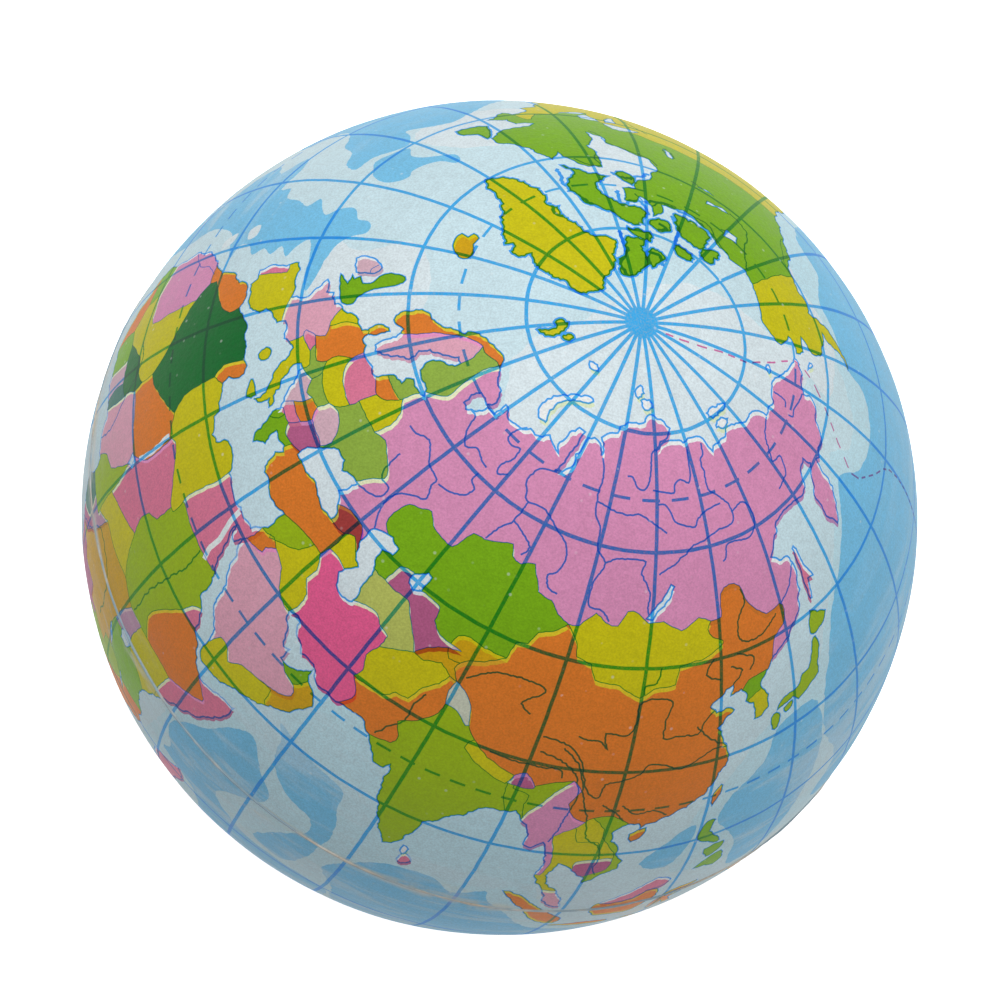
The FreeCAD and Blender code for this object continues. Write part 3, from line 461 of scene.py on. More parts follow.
FLOOR = (240, 240, 240), (244, 244, 243)

OUTLINE_WIDTH = 0.25
BOLD = 1.8  # how much heavier the outlines of the lands round Greenland are
BORDER_WIDTH = 0.13
RIVER_WIDTH = 0.24
STROKE_WIDTH = 0.5
WHITE_STRIP_WIDTH = 0.75
GRID_WIDTH = 0.5
DASH_WIDTH = 0.4
GRID_EVERY = 15.0
POLAR_CIRCLE, TROPIC = 66.5, 23.5
PLATE_SHIFT = (-0.26, 0.58)  # the magenta plate is printed this far off the others, on the half's plane

# How far a line's runs are broken sideways, as a share of their length, and the longest run left.
COAST_ROUGH = (0.16, 0.62)
LAKE_ROUGH = (0.12, 0.62)
BORDER_ROUGH = (0.07, 0.8)
ISLAND_ROUGH = (0.1, 0.62)
ARCTIC_ROUGH = (0.3, 0.5)
RIVER_ROUGH = (0.16, 0.5)
STRIP_ROUGH = (0.08, 0.8)
SEA_ROUGH = (0.1, 0.9)

COVER = 0.0004  # thickness of the printed covers, in metres
MESH_STEP, INNER_STEP = 1.5, 4.5  # spacing of the points inside large areas, and under the cover, in degrees
UNDER_COVER = 0.00003  # how far the foam stays under the covers
RIB_STEPS = 360
FAR = 400.0  # half the side of the square round the whole plane

KEY_POWER, FILL_POWER = 5.6, 1.8
SKY_LOW, SKY_HIGH = 0.16, 0.43
FLOOR_GLOW = 0.9

# Where the camera stands over the ball, how the pole's direction is turned in the picture, and how far off.
LATITUDE, LONGITUDE, ROLL = 57.75, 64.91, 53.98
DISTANCE = 0.3622
FOCAL_LENGTH, SENSOR = 143.3, 36
SHIFT_X, SHIFT_Y = 0.0005, 0.0169


def linear(rgb):
    c = np.asarray(rgb, float) / 255
    return np.where(c <= 0.04045, c / 12.92, ((c + 0.055) / 1.055) ** 2.4)


# ---------------------------------------------------------------------------------------------
# Lines on the sphere, as unit vectors
# ---------------------------------------------------------------------------------------------

rng = np.random.default_rng(11)


def read(text):
    return np.array([[float(v) for v in pair.split()] for pair in text.replace("\n", " ").split(",")])


def unit(lonlat):
    lon, lat = np.radians(np.asarray(lonlat, float)).T
    return np.stack([np.cos(lat) * np.cos(lon), np.cos(lat) * np.sin(lon), np.sin(lat)], -1)


def normal(v):
    return v / np.linalg.norm(v, axis=-1, keepdims=True)


def rounded(points, closed, parts):
    """A smooth curve through the points (Catmull-Rom)."""
    n = len(points)
    out = []
    for i in range(n if closed else n - 1):
        p = [points[(i + k) % n] if closed else points[min(max(i + k, 0), n - 1)] for k in (-1, 0, 1, 2)]
        for k in range(parts):
            t = k / parts
            out.append(0.5 * (2 * p[1] + (p[2] - p[0]) * t + (2 * p[0] - 5 * p[1] + 4 * p[2] - p[3]) * t * t
                              + (3 * p[1] - p[0] - 3 * p[2] + p[3]) * t ** 3))
    if not closed:
        out.append(points[-1])
    return normal(np.array(out))


def rough(points, closed, amount, step):
    """Breaks long runs by moving their middles sideways, as a coast has it."""
    pts = list(points) + ([points[0]] if closed else [])
    out = [pts[0]]

    def cut(a, b):
        d = np.degrees(np.linalg.norm(b - a))
        if d <= step:
            out.append(b)
            return
        side = normal(np.cross(a, b))
        m = normal(normal(a + b) + side * np.radians(d) * amount * rng.uniform(-1, 1))
        cut(a, m)
        cut(m, b)

    for a, b in zip(pts[:-1], pts[1:]):
        cut(a, b)
    return np.array(out[:-1] if closed else out)


def ribbon(points, closed, width):
    """Left and right edges of a band of the given width along the line."""
    nxt = np.roll(points, -1, 0)
    prv = np.roll(points, 1, 0)
    if not closed:
        nxt[-1] = points[-1]
        prv[0] = points[0]
    a = points - prv
    b = nxt - points
    la, lb = np.linalg.norm(a, axis=1, keepdims=True), np.linalg.norm(b, axis=1, keepdims=True)
    a = np.where(la > 1e-9, a / np.maximum(la, 1e-9), b / np.maximum(lb, 1e-9))
    b = np.where(lb > 1e-9, b / np.maximum(lb, 1e-9), a)
    side_a, side_b = normal(np.cross(points, a)), normal(np.cross(points, b))
    mitre = side_a + side_b
    length = np.linalg.norm(mitre, axis=1, keepdims=True)
    mitre = np.where(length > 0.5, mitre / np.maximum(length, 0.5) ** 2 * 2, side_b)
    h = np.radians(width / 2)
    return points + mitre * h, points - mitre * h


def gap_to(p, a, b):
    """Distance in degrees from p to the run a-b, and the nearest point on it."""
    ab = b - a
    t = np.clip(((p - a) * ab).sum(-1) / np.maximum((ab * ab).sum(-1), 1e-12), 0, 1)[..., None]
    q = a + ab * t
    return np.degrees(np.linalg.norm(p - q, axis=-1)), q


def outlines(text):
    """The lines in a text, with bars between them, as directions from the ball's centre."""
    return [unit(read(part)) for part in text.split("|")]


coast_lines = [rough(unit(read(text)), True, *COAST_ROUGH) for text in MAINLANDS.values()]
lake_lines = [rough(p, True, *LAKE_ROUGH) for p in outlines(LAKES)]
border_lines = [rough(rounded(p, False, 2) if len(p) > 2 else p, False, *BORDER_ROUGH)
                for p in outlines(BORDERS)]


def join_ends():
    """Each border runs on to the line that it ends at, and a little past it."""
    coasts = coast_lines + lake_lines
    count = len(coasts)
    firsts = [p if k < count else p[:-1] for k, p in enumerate(coasts + border_lines)]
    seconds = [np.roll(p, -1, 0) if k < count else p[1:] for k, p in enumerate(coasts + border_lines)]
    owner = np.repeat(np.arange(len(firsts)), [len(p) for p in firsts])
    a, b = np.concatenate(firsts), np.concatenate(seconds)
    for k, points in enumerate(border_lines):
        for end in (0, -1):
            p = points[end]
            d, q = gap_to(p, a, b)
            d[owner == k + count] = 99
            i = int(np.argmin(d))
            if 1e-4 < d[i] < 1.7:
                far = normal(q[i] + (q[i] - p) / np.linalg.norm(q[i] - p) * np.radians(0.12))
                points = np.concatenate([[far], points] if end == 0 else [points, [far]])
        border_lines[k] = points


join_ends()


def island(points):
    """An island's outline; the far northern ones are more broken."""
    points = rounded(points, True, 2)
    return rough(points, True, *(ARCTIC_ROUGH if points.mean(0)[2] > 0.92 else ISLAND_ROUGH))


def strokes(text, parts, roughness):
    return [rough(rounded(p, False, parts), False, *roughness) for p in outlines(text)]


island_lines = [(fill, island(p)) for fill, text in ISLANDS.items() for p in outlines(text)]
shore_lines = strokes(SHORE_STROKES, 3, ARCTIC_ROUGH)
river_lines = strokes(RIVERS, 3, RIVER_ROUGH)
strip_lines = strokes(WHITE_STRIPS, 2, STRIP_ROUGH)
sea_lines = [(tone, rough(rounded(p, True, 3), True, *SEA_ROUGH))
             for tone, text in SEA_AREAS for p in outlines(text)]
date_line = rough(unit(read(DATE_LINE)), False, 0, 0.5)
dashes = [date_line[i:i + 5] for i in range(0, len(date_line) - 5, 7)]

# ---------------------------------------------------------------------------------------------
# The covers: the map cut into each half's outer surface
# ---------------------------------------------------------------------------------------------

low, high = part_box("north_cover")
SEAM_RADIUS = (high.x - low.x) / 2
POLE = high.z
HALF_GAP = low.z
MOULD_RADIUS = (SEAM_RADIUS ** 2 + POLE ** 2) / (2 * POLE)
CENTRE_SHIFT = MOULD_RADIUS - POLE
EDGE = 90 - math.degrees(math.asin(HALF_GAP / SEAM_RADIUS))


def shell(v, inset=0.0):
    """The point of the mould's surface in direction v; inset lies inside it."""
    v = np.asarray(v, float)
    b = CENTRE_SHIFT * np.abs(v[..., 2])
    return v * (-b + np.sqrt(b * b - CENTRE_SHIFT ** 2 + (MOULD_RADIUS - inset) ** 2))[..., None]


def to_plane(v, sign):
    """Seen from the half's pole, distance from the centre is the angle from the pole in degrees."""
    c = np.degrees(np.arccos(np.clip(v[..., 2] * sign / np.linalg.norm(v, axis=-1), -1, 1)))
    r = np.maximum(np.hypot(v[..., 0], v[..., 1]), 1e-12)
    return np.stack([v[..., 0] / r * c, v[..., 1] / r * c], -1)


def from_plane(p, sign):
    c = np.radians(np.hypot(p[..., 0], p[..., 1]))
    k = np.where(c > 1e-9, np.sin(c) / np.maximum(np.degrees(c), 1e-9), math.pi / 180)
    return np.stack([p[..., 0] * k, p[..., 1] * k, sign * np.cos(c)], -1)


def honeycomb(radius, step):
    rows = int(radius / step / 0.866) + 2
    j, i = np.mgrid[-rows:rows + 1, -rows:rows + 1]
    p = np.stack([(i + 0.5 * (j % 2)) * step + 0.013, j * step * 0.866 + 0.021], -1).reshape(-1, 2)
    return p[np.hypot(p[:, 0], p[:, 1]) < radius]


def edges_of(triangle):
    """The three edges of a triangle, each with its lower number first."""
    a, b, c = triangle
    return [(min(edge), max(edge)) for edge in ((a, b), (b, c), (c, a))]


def turn(p, q, r):
    """Twice the area of a triangle in the plane; above 0 when it runs anticlockwise."""
    a, b = q - p, r - p
    return a[..., 0] * b[..., 1] - a[..., 1] * b[..., 0]


class Sheet:
    """Gathers the lines and areas of one half, in its plane, for the triangulation."""

    def __init__(self, sign):
        self.sign, self.points, self.count = sign, [], 0
        self.edges, self.edge_of, self.areas, self.faces, self.face_kind = [], [], [], [], []

    def add(self, xy):
        first = self.count
        self.points.append(np.asarray(xy, float))
        self.count += len(xy)
        return first

    def line(self, xy, owner, closed=False):
        first, n = self.add(xy), len(xy)
        self.edges += [(first + i, first + (i + 1) % n) for i in range(n if closed else n - 1)]
        self.edge_of += [owner] * (n if closed else n - 1)

    def area(self, xy, what, value=None):
        self.line(xy, len(self.areas), True)
        self.areas.append((what, value))

    def band(self, points, closed, width, kind):
        left, right = (to_plane(e, self.sign) for e in ribbon(points, closed, width))
        n = len(points)
        near = np.hypot(*left.T) < 91.5
        for i in range(n if closed else n - 1):
            j = (i + 1) % n
            if near[i] and near[j]:
                for p, q, r in ((left[i], right[i], right[j]), (left[i], right[j], left[j])):
                    area = turn(p, q, r)
                    if abs(area) > 1e-4:
                        first = self.add([p, q, r] if area > 0 else [p, r, q])
                        self.faces.append([first, first + 1, first + 2])
                        self.face_kind.append(kind)


def thin(points, sign):
    """Fewer points where a line runs on the other half."""
    keep = points[:, 2] * sign > -0.08
    keep[::6] = True
    return points[keep]


def drawn(sign):
    """Every line and area of the map that reaches one half, on that half's plane."""
    s = Sheet(sign)
    shift = np.array(PLATE_SHIFT)

    def reaches(points):
        return (points[:, 2] * sign > -0.02).any()

    for fill, points in [(None, p) for p in coast_lines] + island_lines:
        if reaches(points):
            flat = to_plane(thin(points, sign), sign)
            s.area(flat, 0, fill)
            s.area(flat + shift, 1, fill)
            middle = points.mean(0)
            bold = fill in ("green", "yellow") and middle[2] > 0.7 and middle[1] < 0.1 and middle[0] < 0.5
            s.band(points, True, OUTLINE_WIDTH * (BOLD if bold else 1), "ink")
    for points in lake_lines:
        if reaches(points):
            flat = to_plane(points, sign)
            s.area(flat, "lake", 0)
            s.area(flat + shift, "lake", 1)
            s.band(points, True, OUTLINE_WIDTH, "ink")
    for points in border_lines:
        if reaches(points):
            flat = to_plane(thin(points, sign), sign)
            s.line(flat, "wall 0")
            s.line(flat + shift, "wall 1")
            s.band(points, False, BORDER_WIDTH, "ink")
    for lines, width, kind in ((river_lines, RIVER_WIDTH, "ink"), (shore_lines, STROKE_WIDTH, "ink"),
                               (strip_lines, WHITE_STRIP_WIDTH, "strip"), (dashes, OUTLINE_WIDTH, "red")):
        for points in lines:
            s.band(points, False, width, kind)
    for k, (tone, points) in enumerate(sea_lines):
        if reaches(points):
            s.area(to_plane(thin(points, sign), sign), "sea", k)
    rim = np.radians(np.arange(0, 360, 1.0))
    s.line(np.stack([np.cos(rim), np.sin(rim)], -1) * EDGE, "rim", True)
    s.add(honeycomb(EDGE - 1.2, MESH_STEP))
    s.add([(-FAR, -FAR), (FAR, -FAR), (FAR, FAR), (-FAR, FAR)])
    return s


def crossings(s, edges, origins):
    """The areas whose outlines run along each edge of the cut, as bits, and each plate's border walls."""
    crossing, walls = {}, [set(), set()]
    for edge, origin in zip(edges, origins):
        edge = (min(edge), max(edge))
        flip = 0
        for o in origin:
            owner = s.edge_of[o] if o < len(s.edge_of) else None
            if isinstance(owner, int):
                flip ^= 1 << owner
            elif owner in ("wall 0", "wall 1"):
                walls[int(owner[-1])].add(edge)
        if flip:
            crossing[edge] = flip
    return crossing, walls


def areas_over(triangles, xy, shared, crossing):
    """The areas that each triangle lies in, as bits: an outline crossed is an area entered or left."""
    start = next(i for i, t in enumerate(triangles) if np.abs(xy[list(t)]).max() > 0.97 * FAR)
    inside, todo = {start: 0}, [start]
    while todo:
        i = todo.pop()
        for edge in edges_of(triangles[i]):
            for j in shared[edge]:
                if j not in inside:
                    inside[j] = inside[i] ^ crossing.get(edge, 0)
                    todo.append(j)
    return inside


def read_areas(s, masks):
    """For each triangle: whether it is mainland or lake and any island's fill, by plate, and its sea tone."""
    n = len(masks)
    main, lake = np.zeros((2, n), bool), np.zeros((2, n), bool)
    fills, tones = [[None] * n, [None] * n], ["sea"] * n
    for i, mask in enumerate(masks):
        top = -1
        while mask:
            lowest = mask & -mask
            what, value = s.areas[lowest.bit_length() - 1]
            mask ^= lowest
            if what == "lake":
                lake[value, i] = True
            elif what == "sea":
                top = max(top, value)
            elif value is None:
                main[what, i] = True
            else:
                fills[what][i] = value
        if top >= 0:
            tones[i] = sea_lines[top][0]
    return main, lake, fills, tones


def spread(fills, seeds, mid, ground, beside):
    """Each country's colour spreads from its points over the mainland until it meets a border."""
    for fill, seed in seeds:
        start = int(np.argmin(((mid - seed) ** 2).sum(1) + 1e3 * ~ground))
        if fills[start] is not None:
            continue
        fills[start] = fill
        todo = [start]
        while todo:
            for j in beside[todo.pop()]:
                if fills[j] is None:
                    fills[j] = fill
                    todo.append(j)


def fill_slivers(fills, ground, around):
    """Slivers between two borders take a neighbour's colour."""
    waiting = [i for i in range(len(fills)) if ground[i] and fills[i] is None]
    while waiting:
        found = [(i, next((fills[j] for j in around(i) if ground[j] and fills[j]), None)) for i in waiting]
        for i, fill in found:
            fills[i] = fill
        left = [i for i in waiting if fills[i] is None]
        if len(left) == len(waiting):
            break
        waiting = left


def print_colour(main, lake, strip, below, above, tone):
    """What the layers print on one triangle: the land's colour under the shifted magenta plate."""
    on_land = main[0] or below
    full, under = FILL[below or "yellow"]
    spills = full != under if on_land else above and FILL[above][1] == WHITE
    if not on_land:
        colour = linear(SEA[tone])
    else:
        colour = linear(SEA["shelf"] if lake[0] else BARE if strip else under)
    if above and spills and not lake[1] and not strip:
        colour = colour * np.minimum(linear(FILL[above][0]) / linear(FILL[above][1]), MOST_SPILL)
    return colour


def cut_half(sign):
    """Cuts one half's plane along the map's lines: its points, its triangles and their colours."""
    s = drawn(sign)
    v, e, f, _, eo, fo = delaunay_2d_cdt(
        [Vector(p) for p in np.concatenate(s.points)], s.edges, s.faces, 0, 1e-5, True)
    xy = np.array([(p.x, p.y) for p in v])
    crossing, walls = crossings(s, e, eo)
    shared = {}
    for i, triangle in enumerate(f):
        for edge in edges_of(triangle):
            shared.setdefault(edge, []).append(i)
    inside = areas_over(f, xy, shared, crossing)

    tris = np.array(f)
    mid = xy[tris].mean(1)
    kept = np.flatnonzero(np.hypot(*mid.T) < EDGE - 0.003)
    new_number = {int(old): i for i, old in enumerate(kept)}
    tris, mid = tris[kept], mid[kept]
    turned = turn(*xy[tris].transpose(1, 0, 2)) < 0
    tris[turned] = tris[turned][:, ::-1]

    def around(i):
        beside = (new_number.get(k) for edge in edges_of(f[kept[i]]) for k in shared[edge])
        return (j for j in beside if j is not None and j != i)

    main, lake, fills, tones = read_areas(s, [inside[int(k)] for k in kept])
    for plate in (0, 1):
        ground = main[plate] & ~lake[plate]
        beside = [[] for _ in kept]
        for edge, pair in shared.items():
            pair = [new_number[k] for k in pair if k in new_number]
            if len(pair) == 2 and edge not in walls[plate] and ground[pair].all():
                beside[pair[0]].append(pair[1])
                beside[pair[1]].append(pair[0])
        seeds = [(fill, seed) for fill, text in COUNTRIES.items()
                 for seed in to_plane(unit(read(text)), sign) + np.array(PLATE_SHIFT) * plate
                 if np.hypot(*seed) <= EDGE]
        spread(fills[plate], seeds, mid, ground, beside)
        fill_slivers(fills[plate], ground, around)

    ink, red, strip = (np.array([any(s.face_kind[c] == kind for c in fo[k]) for k in kept])
                       for kind in ("ink", "red", "strip"))
    colour = np.array([print_colour(*layers) for layers in zip(main.T, lake.T, strip, *fills, tones)])
    colour[ink] *= linear(INK)
    colour[red & ~ink] *= linear(RED_INK)
    return xy, tris, colour


def in_scene(name, data):
    obj = bpy.data.objects.new(name, data)
    bpy.context.scene.collection.objects.link(obj)
    return obj


def wave(v, size, seed):
    return noise.noise(Vector((v[0] * size + seed, v[1] * size, v[2] * size)))


def outer_point(v):
    """A moulded foam skin: true to the mould within a few hundredths of a millimetre."""
    p = shell(v)
    swell = np.array([0.00005 * wave(d, 2.3, 3) + 0.000035 * wave(d, 7.0, 9) for d in v])
    return p * (1 + (swell - 0.00004) / SEAM_RADIUS)[:, None]


def edge_loop(tris):
    """The points round the open edge of a sheet of triangles, in order."""
    sides = dict.fromkeys((a, b) for t in tris.tolist() for a, b in zip(t, t[1:] + t[:1]))
    after = {a: b for a, b in sides if (b, a) not in sides}
    start = next(iter(after))
    loop = [start]
    while after[loop[-1]] != start:
        loop.append(after[loop[-1]])
    assert len(loop) == len(after), "the cover's edge is not one loop"
    return loop


def inner_dome(edge, sign):
    """The inner surface behind the same edge: its points, its triangles and where the edge's points are."""
    flat = np.concatenate([edge, honeycomb(EDGE - 4, INNER_STEP)])
    n = len(edge)
    v, _, f, ids, _, _ = delaunay_2d_cdt(
        [Vector(p) for p in flat], [(i, (i + 1) % n) for i in range(n)], [], 0, 1e-6, True)
    xy = np.array([(p.x, p.y) for p in v])
    faces = []
    for t in map(list, f):
        if np.hypot(*xy[t].mean(0)) < EDGE - 0.01:
            anticlockwise = turn(*xy[t]) > 0
            faces.append(t if anticlockwise == (sign < 0) else t[::-1])
    points = shell(from_plane(xy, sign), COVER)
    points[:, 2] = sign * np.maximum(np.abs(points[:, 2]), HALF_GAP)
    place = {o[0]: i for i, o in enumerate(ids) if o}
    return points, faces, [place[i] for i in range(n)]


def give_normals(mesh, normals, n_rim):
    """The map's triangles are of every shape, so the skin's smooth normals are given; the rim stays flat."""
    vertex = np.empty(len(mesh.loops), np.int64)
    mesh.loops.foreach_get("vertex_index", vertex)
    per_corner = normals[vertex].astype(np.float32)
    rim_normals = np.array([face.normal[:] for face in list(mesh.polygons)[-n_rim:]])
    per_corner[-3 * n_rim:] = np.repeat(rim_normals, 3, 0)
    mesh.normals_split_custom_set(per_corner.tolist())


def cover(name, sign, body_node):
    """One printed cover: the map outside, a plain dome inside and a flat rim between them."""
    xy, tris, colour = cut_half(sign)
    used = np.unique(tris)
    number = np.full(len(xy), -1)
    number[used] = np.arange(len(used))
    xy, tris = xy[used], number[tris]
    if sign < 0:
        tris = tris[:, ::-1]
    v = from_plane(xy, sign)
    outer = outer_point(v)
    loop = edge_loop(tris)
    inner, dome, inner_loop = inner_dome(xy[loop], sign)
    base = len(outer)
    dome = [[i + base for i in t] for t in dome]
    rim = []
    for i, a in enumerate(loop):
        j = (i + 1) % len(loop)
        b, inner_a, inner_b = loop[j], inner_loop[i] + base, inner_loop[j] + base
        rim += [[b, a, inner_a], [b, inner_a, inner_b]]

    mesh = bpy.data.meshes.new(name)
    mesh.from_pydata(np.concatenate([outer, inner]).tolist(), [], tris.tolist() + dome + rim)
    plain = np.tile(linear(BARE), (len(dome) + len(rim), 1))
    corners = np.ones((len(mesh.loops), 4), np.float32)
    corners[:, :3] = np.repeat(np.concatenate([colour, plain]), 3, 0)
    layer = mesh.attributes.new("print", "FLOAT_COLOR", "CORNER")
    layer.data.foreach_set("color", corners.ravel())
    rest = np.concatenate([v, normal(inner)])
    direction = mesh.attributes.new("rest", "FLOAT_VECTOR", "POINT")
    direction.data.foreach_set("vector", rest.astype(np.float32).ravel())
    mesh.polygons.foreach_set("use_smooth", [True] * (len(tris) + len(dome)) + [False] * len(rim))
    mesh.materials.append(printed_film)
    obj = in_scene(name, mesh)
    centre_of_mould = np.array([0, 0, -sign * CENTRE_SHIFT])
    normals = np.concatenate([normal(outer - centre_of_mould), -normal(inner - centre_of_mould)])
    give_normals(mesh, normals, len(rim))
    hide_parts(body_node)
    return obj


# ---------------------------------------------------------------------------------------------
# Materials
# ---------------------------------------------------------------------------------------------


class Shader:
    """A material with short ways to add nodes."""

    def __init__(self, name):
        self.material = bpy.data.materials.new(name)
        self.material.use_nodes = True
        self.tree = self.material.node_tree
        self.surface = self.tree.nodes["Principled BSDF"]

    def put(self, socket, value):
        if isinstance(value, bpy.types.NodeSocket):
            self.tree.links.new(value, socket)
        else:
            socket.default_value = value

    def node(self, kind, inputs=(), **settings):
        made = self.tree.nodes.new(kind)
        for key, value in settings.items():
            setattr(made, key, value)
        for key, value in dict(inputs).items():
            self.put(made.inputs[key], value)
        return made

    def math(self, operation, *values):
        return self.node("ShaderNodeMath", enumerate(values), operation=operation).outputs[0]

    def times(self, *values):
        return reduce(lambda a, b: self.math("MULTIPLY", a, b), values)

    def plus(self, *values):
        return reduce(lambda a, b: self.math("ADD", a, b), values)

    def absolute(self, value):
        return self.math("ABSOLUTE", value)

    def attribute(self, name):
        return self.node("ShaderNodeAttribute", attribute_name=name)

    def scaled(self, vector, by):
        return self.node("ShaderNodeVectorMath", {0: vector, 1: by}, operation="MULTIPLY").outputs[0]

    def noise(self, vector, scale, detail=2.0, roughness=0.5, distortion=0.0):
        return self.node("ShaderNodeTexNoise", {"Vector": vector, "Scale": scale, "Detail": detail,
                                                "Roughness": roughness, "Distortion": distortion}).outputs[0]

    def step(self, value, low, high, out_low=0.0, out_high=1.0, kind="SMOOTHSTEP"):
        return self.node("ShaderNodeMapRange", {0: value, 1: low, 2: high, 3: out_low, 4: out_high},
                         interpolation_type=kind).outputs[0]

    def cells(self, vector, scale):
        """The distance to the nearest of many scattered points, and that point's own random colour."""
        made = self.node("ShaderNodeTexVoronoi", {"Vector": vector, "Scale": scale, "Randomness": 1.0})
        return made.outputs["Distance"], made.outputs["Color"]

    def channel(self, colour, i):
        return self.node("ShaderNodeSeparateColor", {0: colour}).outputs[i]

    def bump(self, height, strength, distance):
        made = self.node("ShaderNodeBump", {"Strength": strength, "Distance": distance, "Height": height})
        self.put(self.surface.inputs["Normal"], made.outputs[0])

    def mix(self, factor, a, b, blend="MIX"):
        made = self.node("ShaderNodeMix", data_type="RGBA", blend_type=blend)
        for socket, value in zip((made.inputs[0], made.inputs[6], made.inputs[7]), (factor, a, b)):
            self.put(socket, value)
        return made.outputs[2]


def rgb(colour):
    return (*linear(colour), 1.0)


def line_grid(s, rest, lon, lat, level):
    """Where the blue grid's ink is: meridians, parallels, dashed circles and the disc at each pole."""
    waver = s.times(s.math("SUBTRACT", s.noise(rest, 22, 3), 0.5), 0.22)
    lon_w, lat_w = s.plus(lon, waver), s.plus(lat, waver)
    from_equator = s.absolute(lat)

    def near(value, every):
        turns = s.math("DIVIDE", value, every)
        return s.times(s.absolute(s.math("SUBTRACT", turns, s.math("ROUND", turns))), every)

    def line(distance, width):
        return s.step(distance, width / 2 - 0.04, width / 2 + 0.04, 1.0, 0.0)

    def dashed(parallel, every, share):
        off = s.absolute(s.math("SUBTRACT", s.absolute(lat_w), parallel))
        dash = s.math("LESS_THAN", s.math("FRACT", s.math("DIVIDE", s.plus(lon, 360.0), every)), share)
        return s.times(line(off, DASH_WIDTH), dash)

    meridians = line(s.times(near(lon_w, GRID_EVERY), level), GRID_WIDTH)
    off_seam = s.math("GREATER_THAN", from_equator, 5.0)
    parallels = s.times(line(near(lat_w, GRID_EVERY), GRID_WIDTH), off_seam)
    pole = s.step(from_equator, 87.5, 87.9)
    circles = s.math("MAXIMUM", dashed(POLAR_CIRCLE, 10.0, 0.6), dashed(TROPIC, 3.8, 0.6))
    return reduce(lambda a, b: s.math("MAXIMUM", a, b), (meridians, parallels, pole, circles))


def pinholes(s, rest):
    """Small bubbles that took no ink, and finer flecks."""
    distance, pick = s.cells(rest, 6.0)
    size = s.step(s.channel(pick, 0), 0.8, 1.0, 0.0, 0.055, "LINEAR")
    hole = s.times(s.step(s.math("DIVIDE", distance, s.plus(size, 0.001)), 0.7, 1.1, 1.0, 0.0), 0.7)
    distance, pick = s.cells(rest, 62.0)
    fleck = s.times(s.step(distance, 0.12, 0.3, 1.0, 0.0), s.step(s.channel(pick, 0), 0.93, 1.0, 0.0, 0.3))
    return hole, fleck


def wear(s, rest, lat):
    """Rubbed and stretched film: long pale streaks along the seam, and a worn lip at its edge."""
    beside = s.step(s.absolute(s.plus(lat, 3.0)), 2.0, 11.0, 1.0, 0.0)
    streak = s.step(s.noise(s.scaled(rest, (2.6, 2.6, 8.0)), 1.9, 5, 0.6, 0.5), 0.5, 0.68)
    patch = s.step(s.noise(rest, 2.9, 2, 0.5), 0.45, 0.62)
    rubbed = s.times(s.times(streak, patch), s.times(beside, 0.6))
    reach = s.step(s.noise(rest, 1.7, 3), 0.4, 0.7, 0.5, 3.4)
    lip = s.times(s.step(s.math("DIVIDE", s.absolute(lat), reach), 0.3, 1.0, 0.6, 0.0),
                  s.step(s.noise(rest, 12, 3, 0.6), 0.34, 0.56))
    return s.math("MAXIMUM", rubbed, lip)


def pale_streaks(s, rest, lat, colour):
    """Broad streaks of thin ink in the warm seas, which are told from the land by how blue they are."""
    low_band = s.step(s.absolute(lat), 16.0, 50.0, 0.5, 0.0)
    at_sea = s.step(s.channel(colour, 2), 0.6, 0.8)
    streaks = s.step(s.noise(s.scaled(rest, (1.3, 1.3, 6.0)), 2.2, 4, 0.6, 0.6), 0.46, 0.66)
    return s.mix(s.times(streaks, low_band, at_sea), colour, rgb(PALE_STREAK))


def film_material():
    """Printed elastic film on the foam: line grid, grain, pinholes and wear over the map's colours."""
    s = Shader("printed_film")
    rest = s.attribute("rest").outputs["Vector"]
    x, y, z = s.node("ShaderNodeSeparateXYZ", {0: rest}).outputs
    level = s.math("SQRT", s.plus(s.times(x, x), s.times(y, y)))
    lon, lat = (s.times(s.math("ARCTAN2", *pair), math.degrees(1)) for pair in ((y, x), (z, level)))

    # ink that sits unevenly on the foam's grain
    grain = s.noise(rest, 210, 3, 0.65)
    mottle = s.noise(rest, 46, 3, 0.6)
    cloud = s.noise(rest, 5, 2)
    colour = pale_streaks(s, rest, lat, s.attribute("print").outputs["Color"])
    grid = s.times(line_grid(s, rest, lon, lat, level), s.step(grain, 0.25, 0.6, 0.72, 1.0))
    printed = s.mix(grid, colour, rgb(GRID_INK), "MULTIPLY")
    tone = s.plus(s.step(grain, 0.3, 0.7, -0.1, 0.1), s.step(mottle, 0.3, 0.7, -0.035, 0.035),
                  s.step(cloud, 0.3, 0.7, 0.975, 1.02))
    toned = s.node("ShaderNodeVectorMath", {0: printed}, operation="SCALE")
    s.put(toned.inputs["Scale"], tone)

    worn = wear(s, rest, lat)
    hole, fleck = pinholes(s, rest)
    colour = s.mix(worn, toned.outputs[0], rgb(RUBBED_FILM))
    colour = s.mix(s.math("MAXIMUM", hole, fleck), colour, rgb(PINHOLE))
    s.put(s.surface.inputs["Base Color"], colour)
    s.put(s.surface.inputs["Roughness"], s.step(mottle, 0.2, 0.8, 0.42, 0.58, "LINEAR"))
    s.surface.inputs["Specular IOR Level"].default_value = 0.14
    peel = s.noise(rest, 95, 2, 0.5)
    height = s.plus(s.plus(s.times(peel, 0.9), s.times(grain, 0.45)),
                    s.math("SUBTRACT", s.times(worn, 0.25), s.times(hole, 1.2)))
    s.bump(height, 0.35, 0.00012)
    return s.material


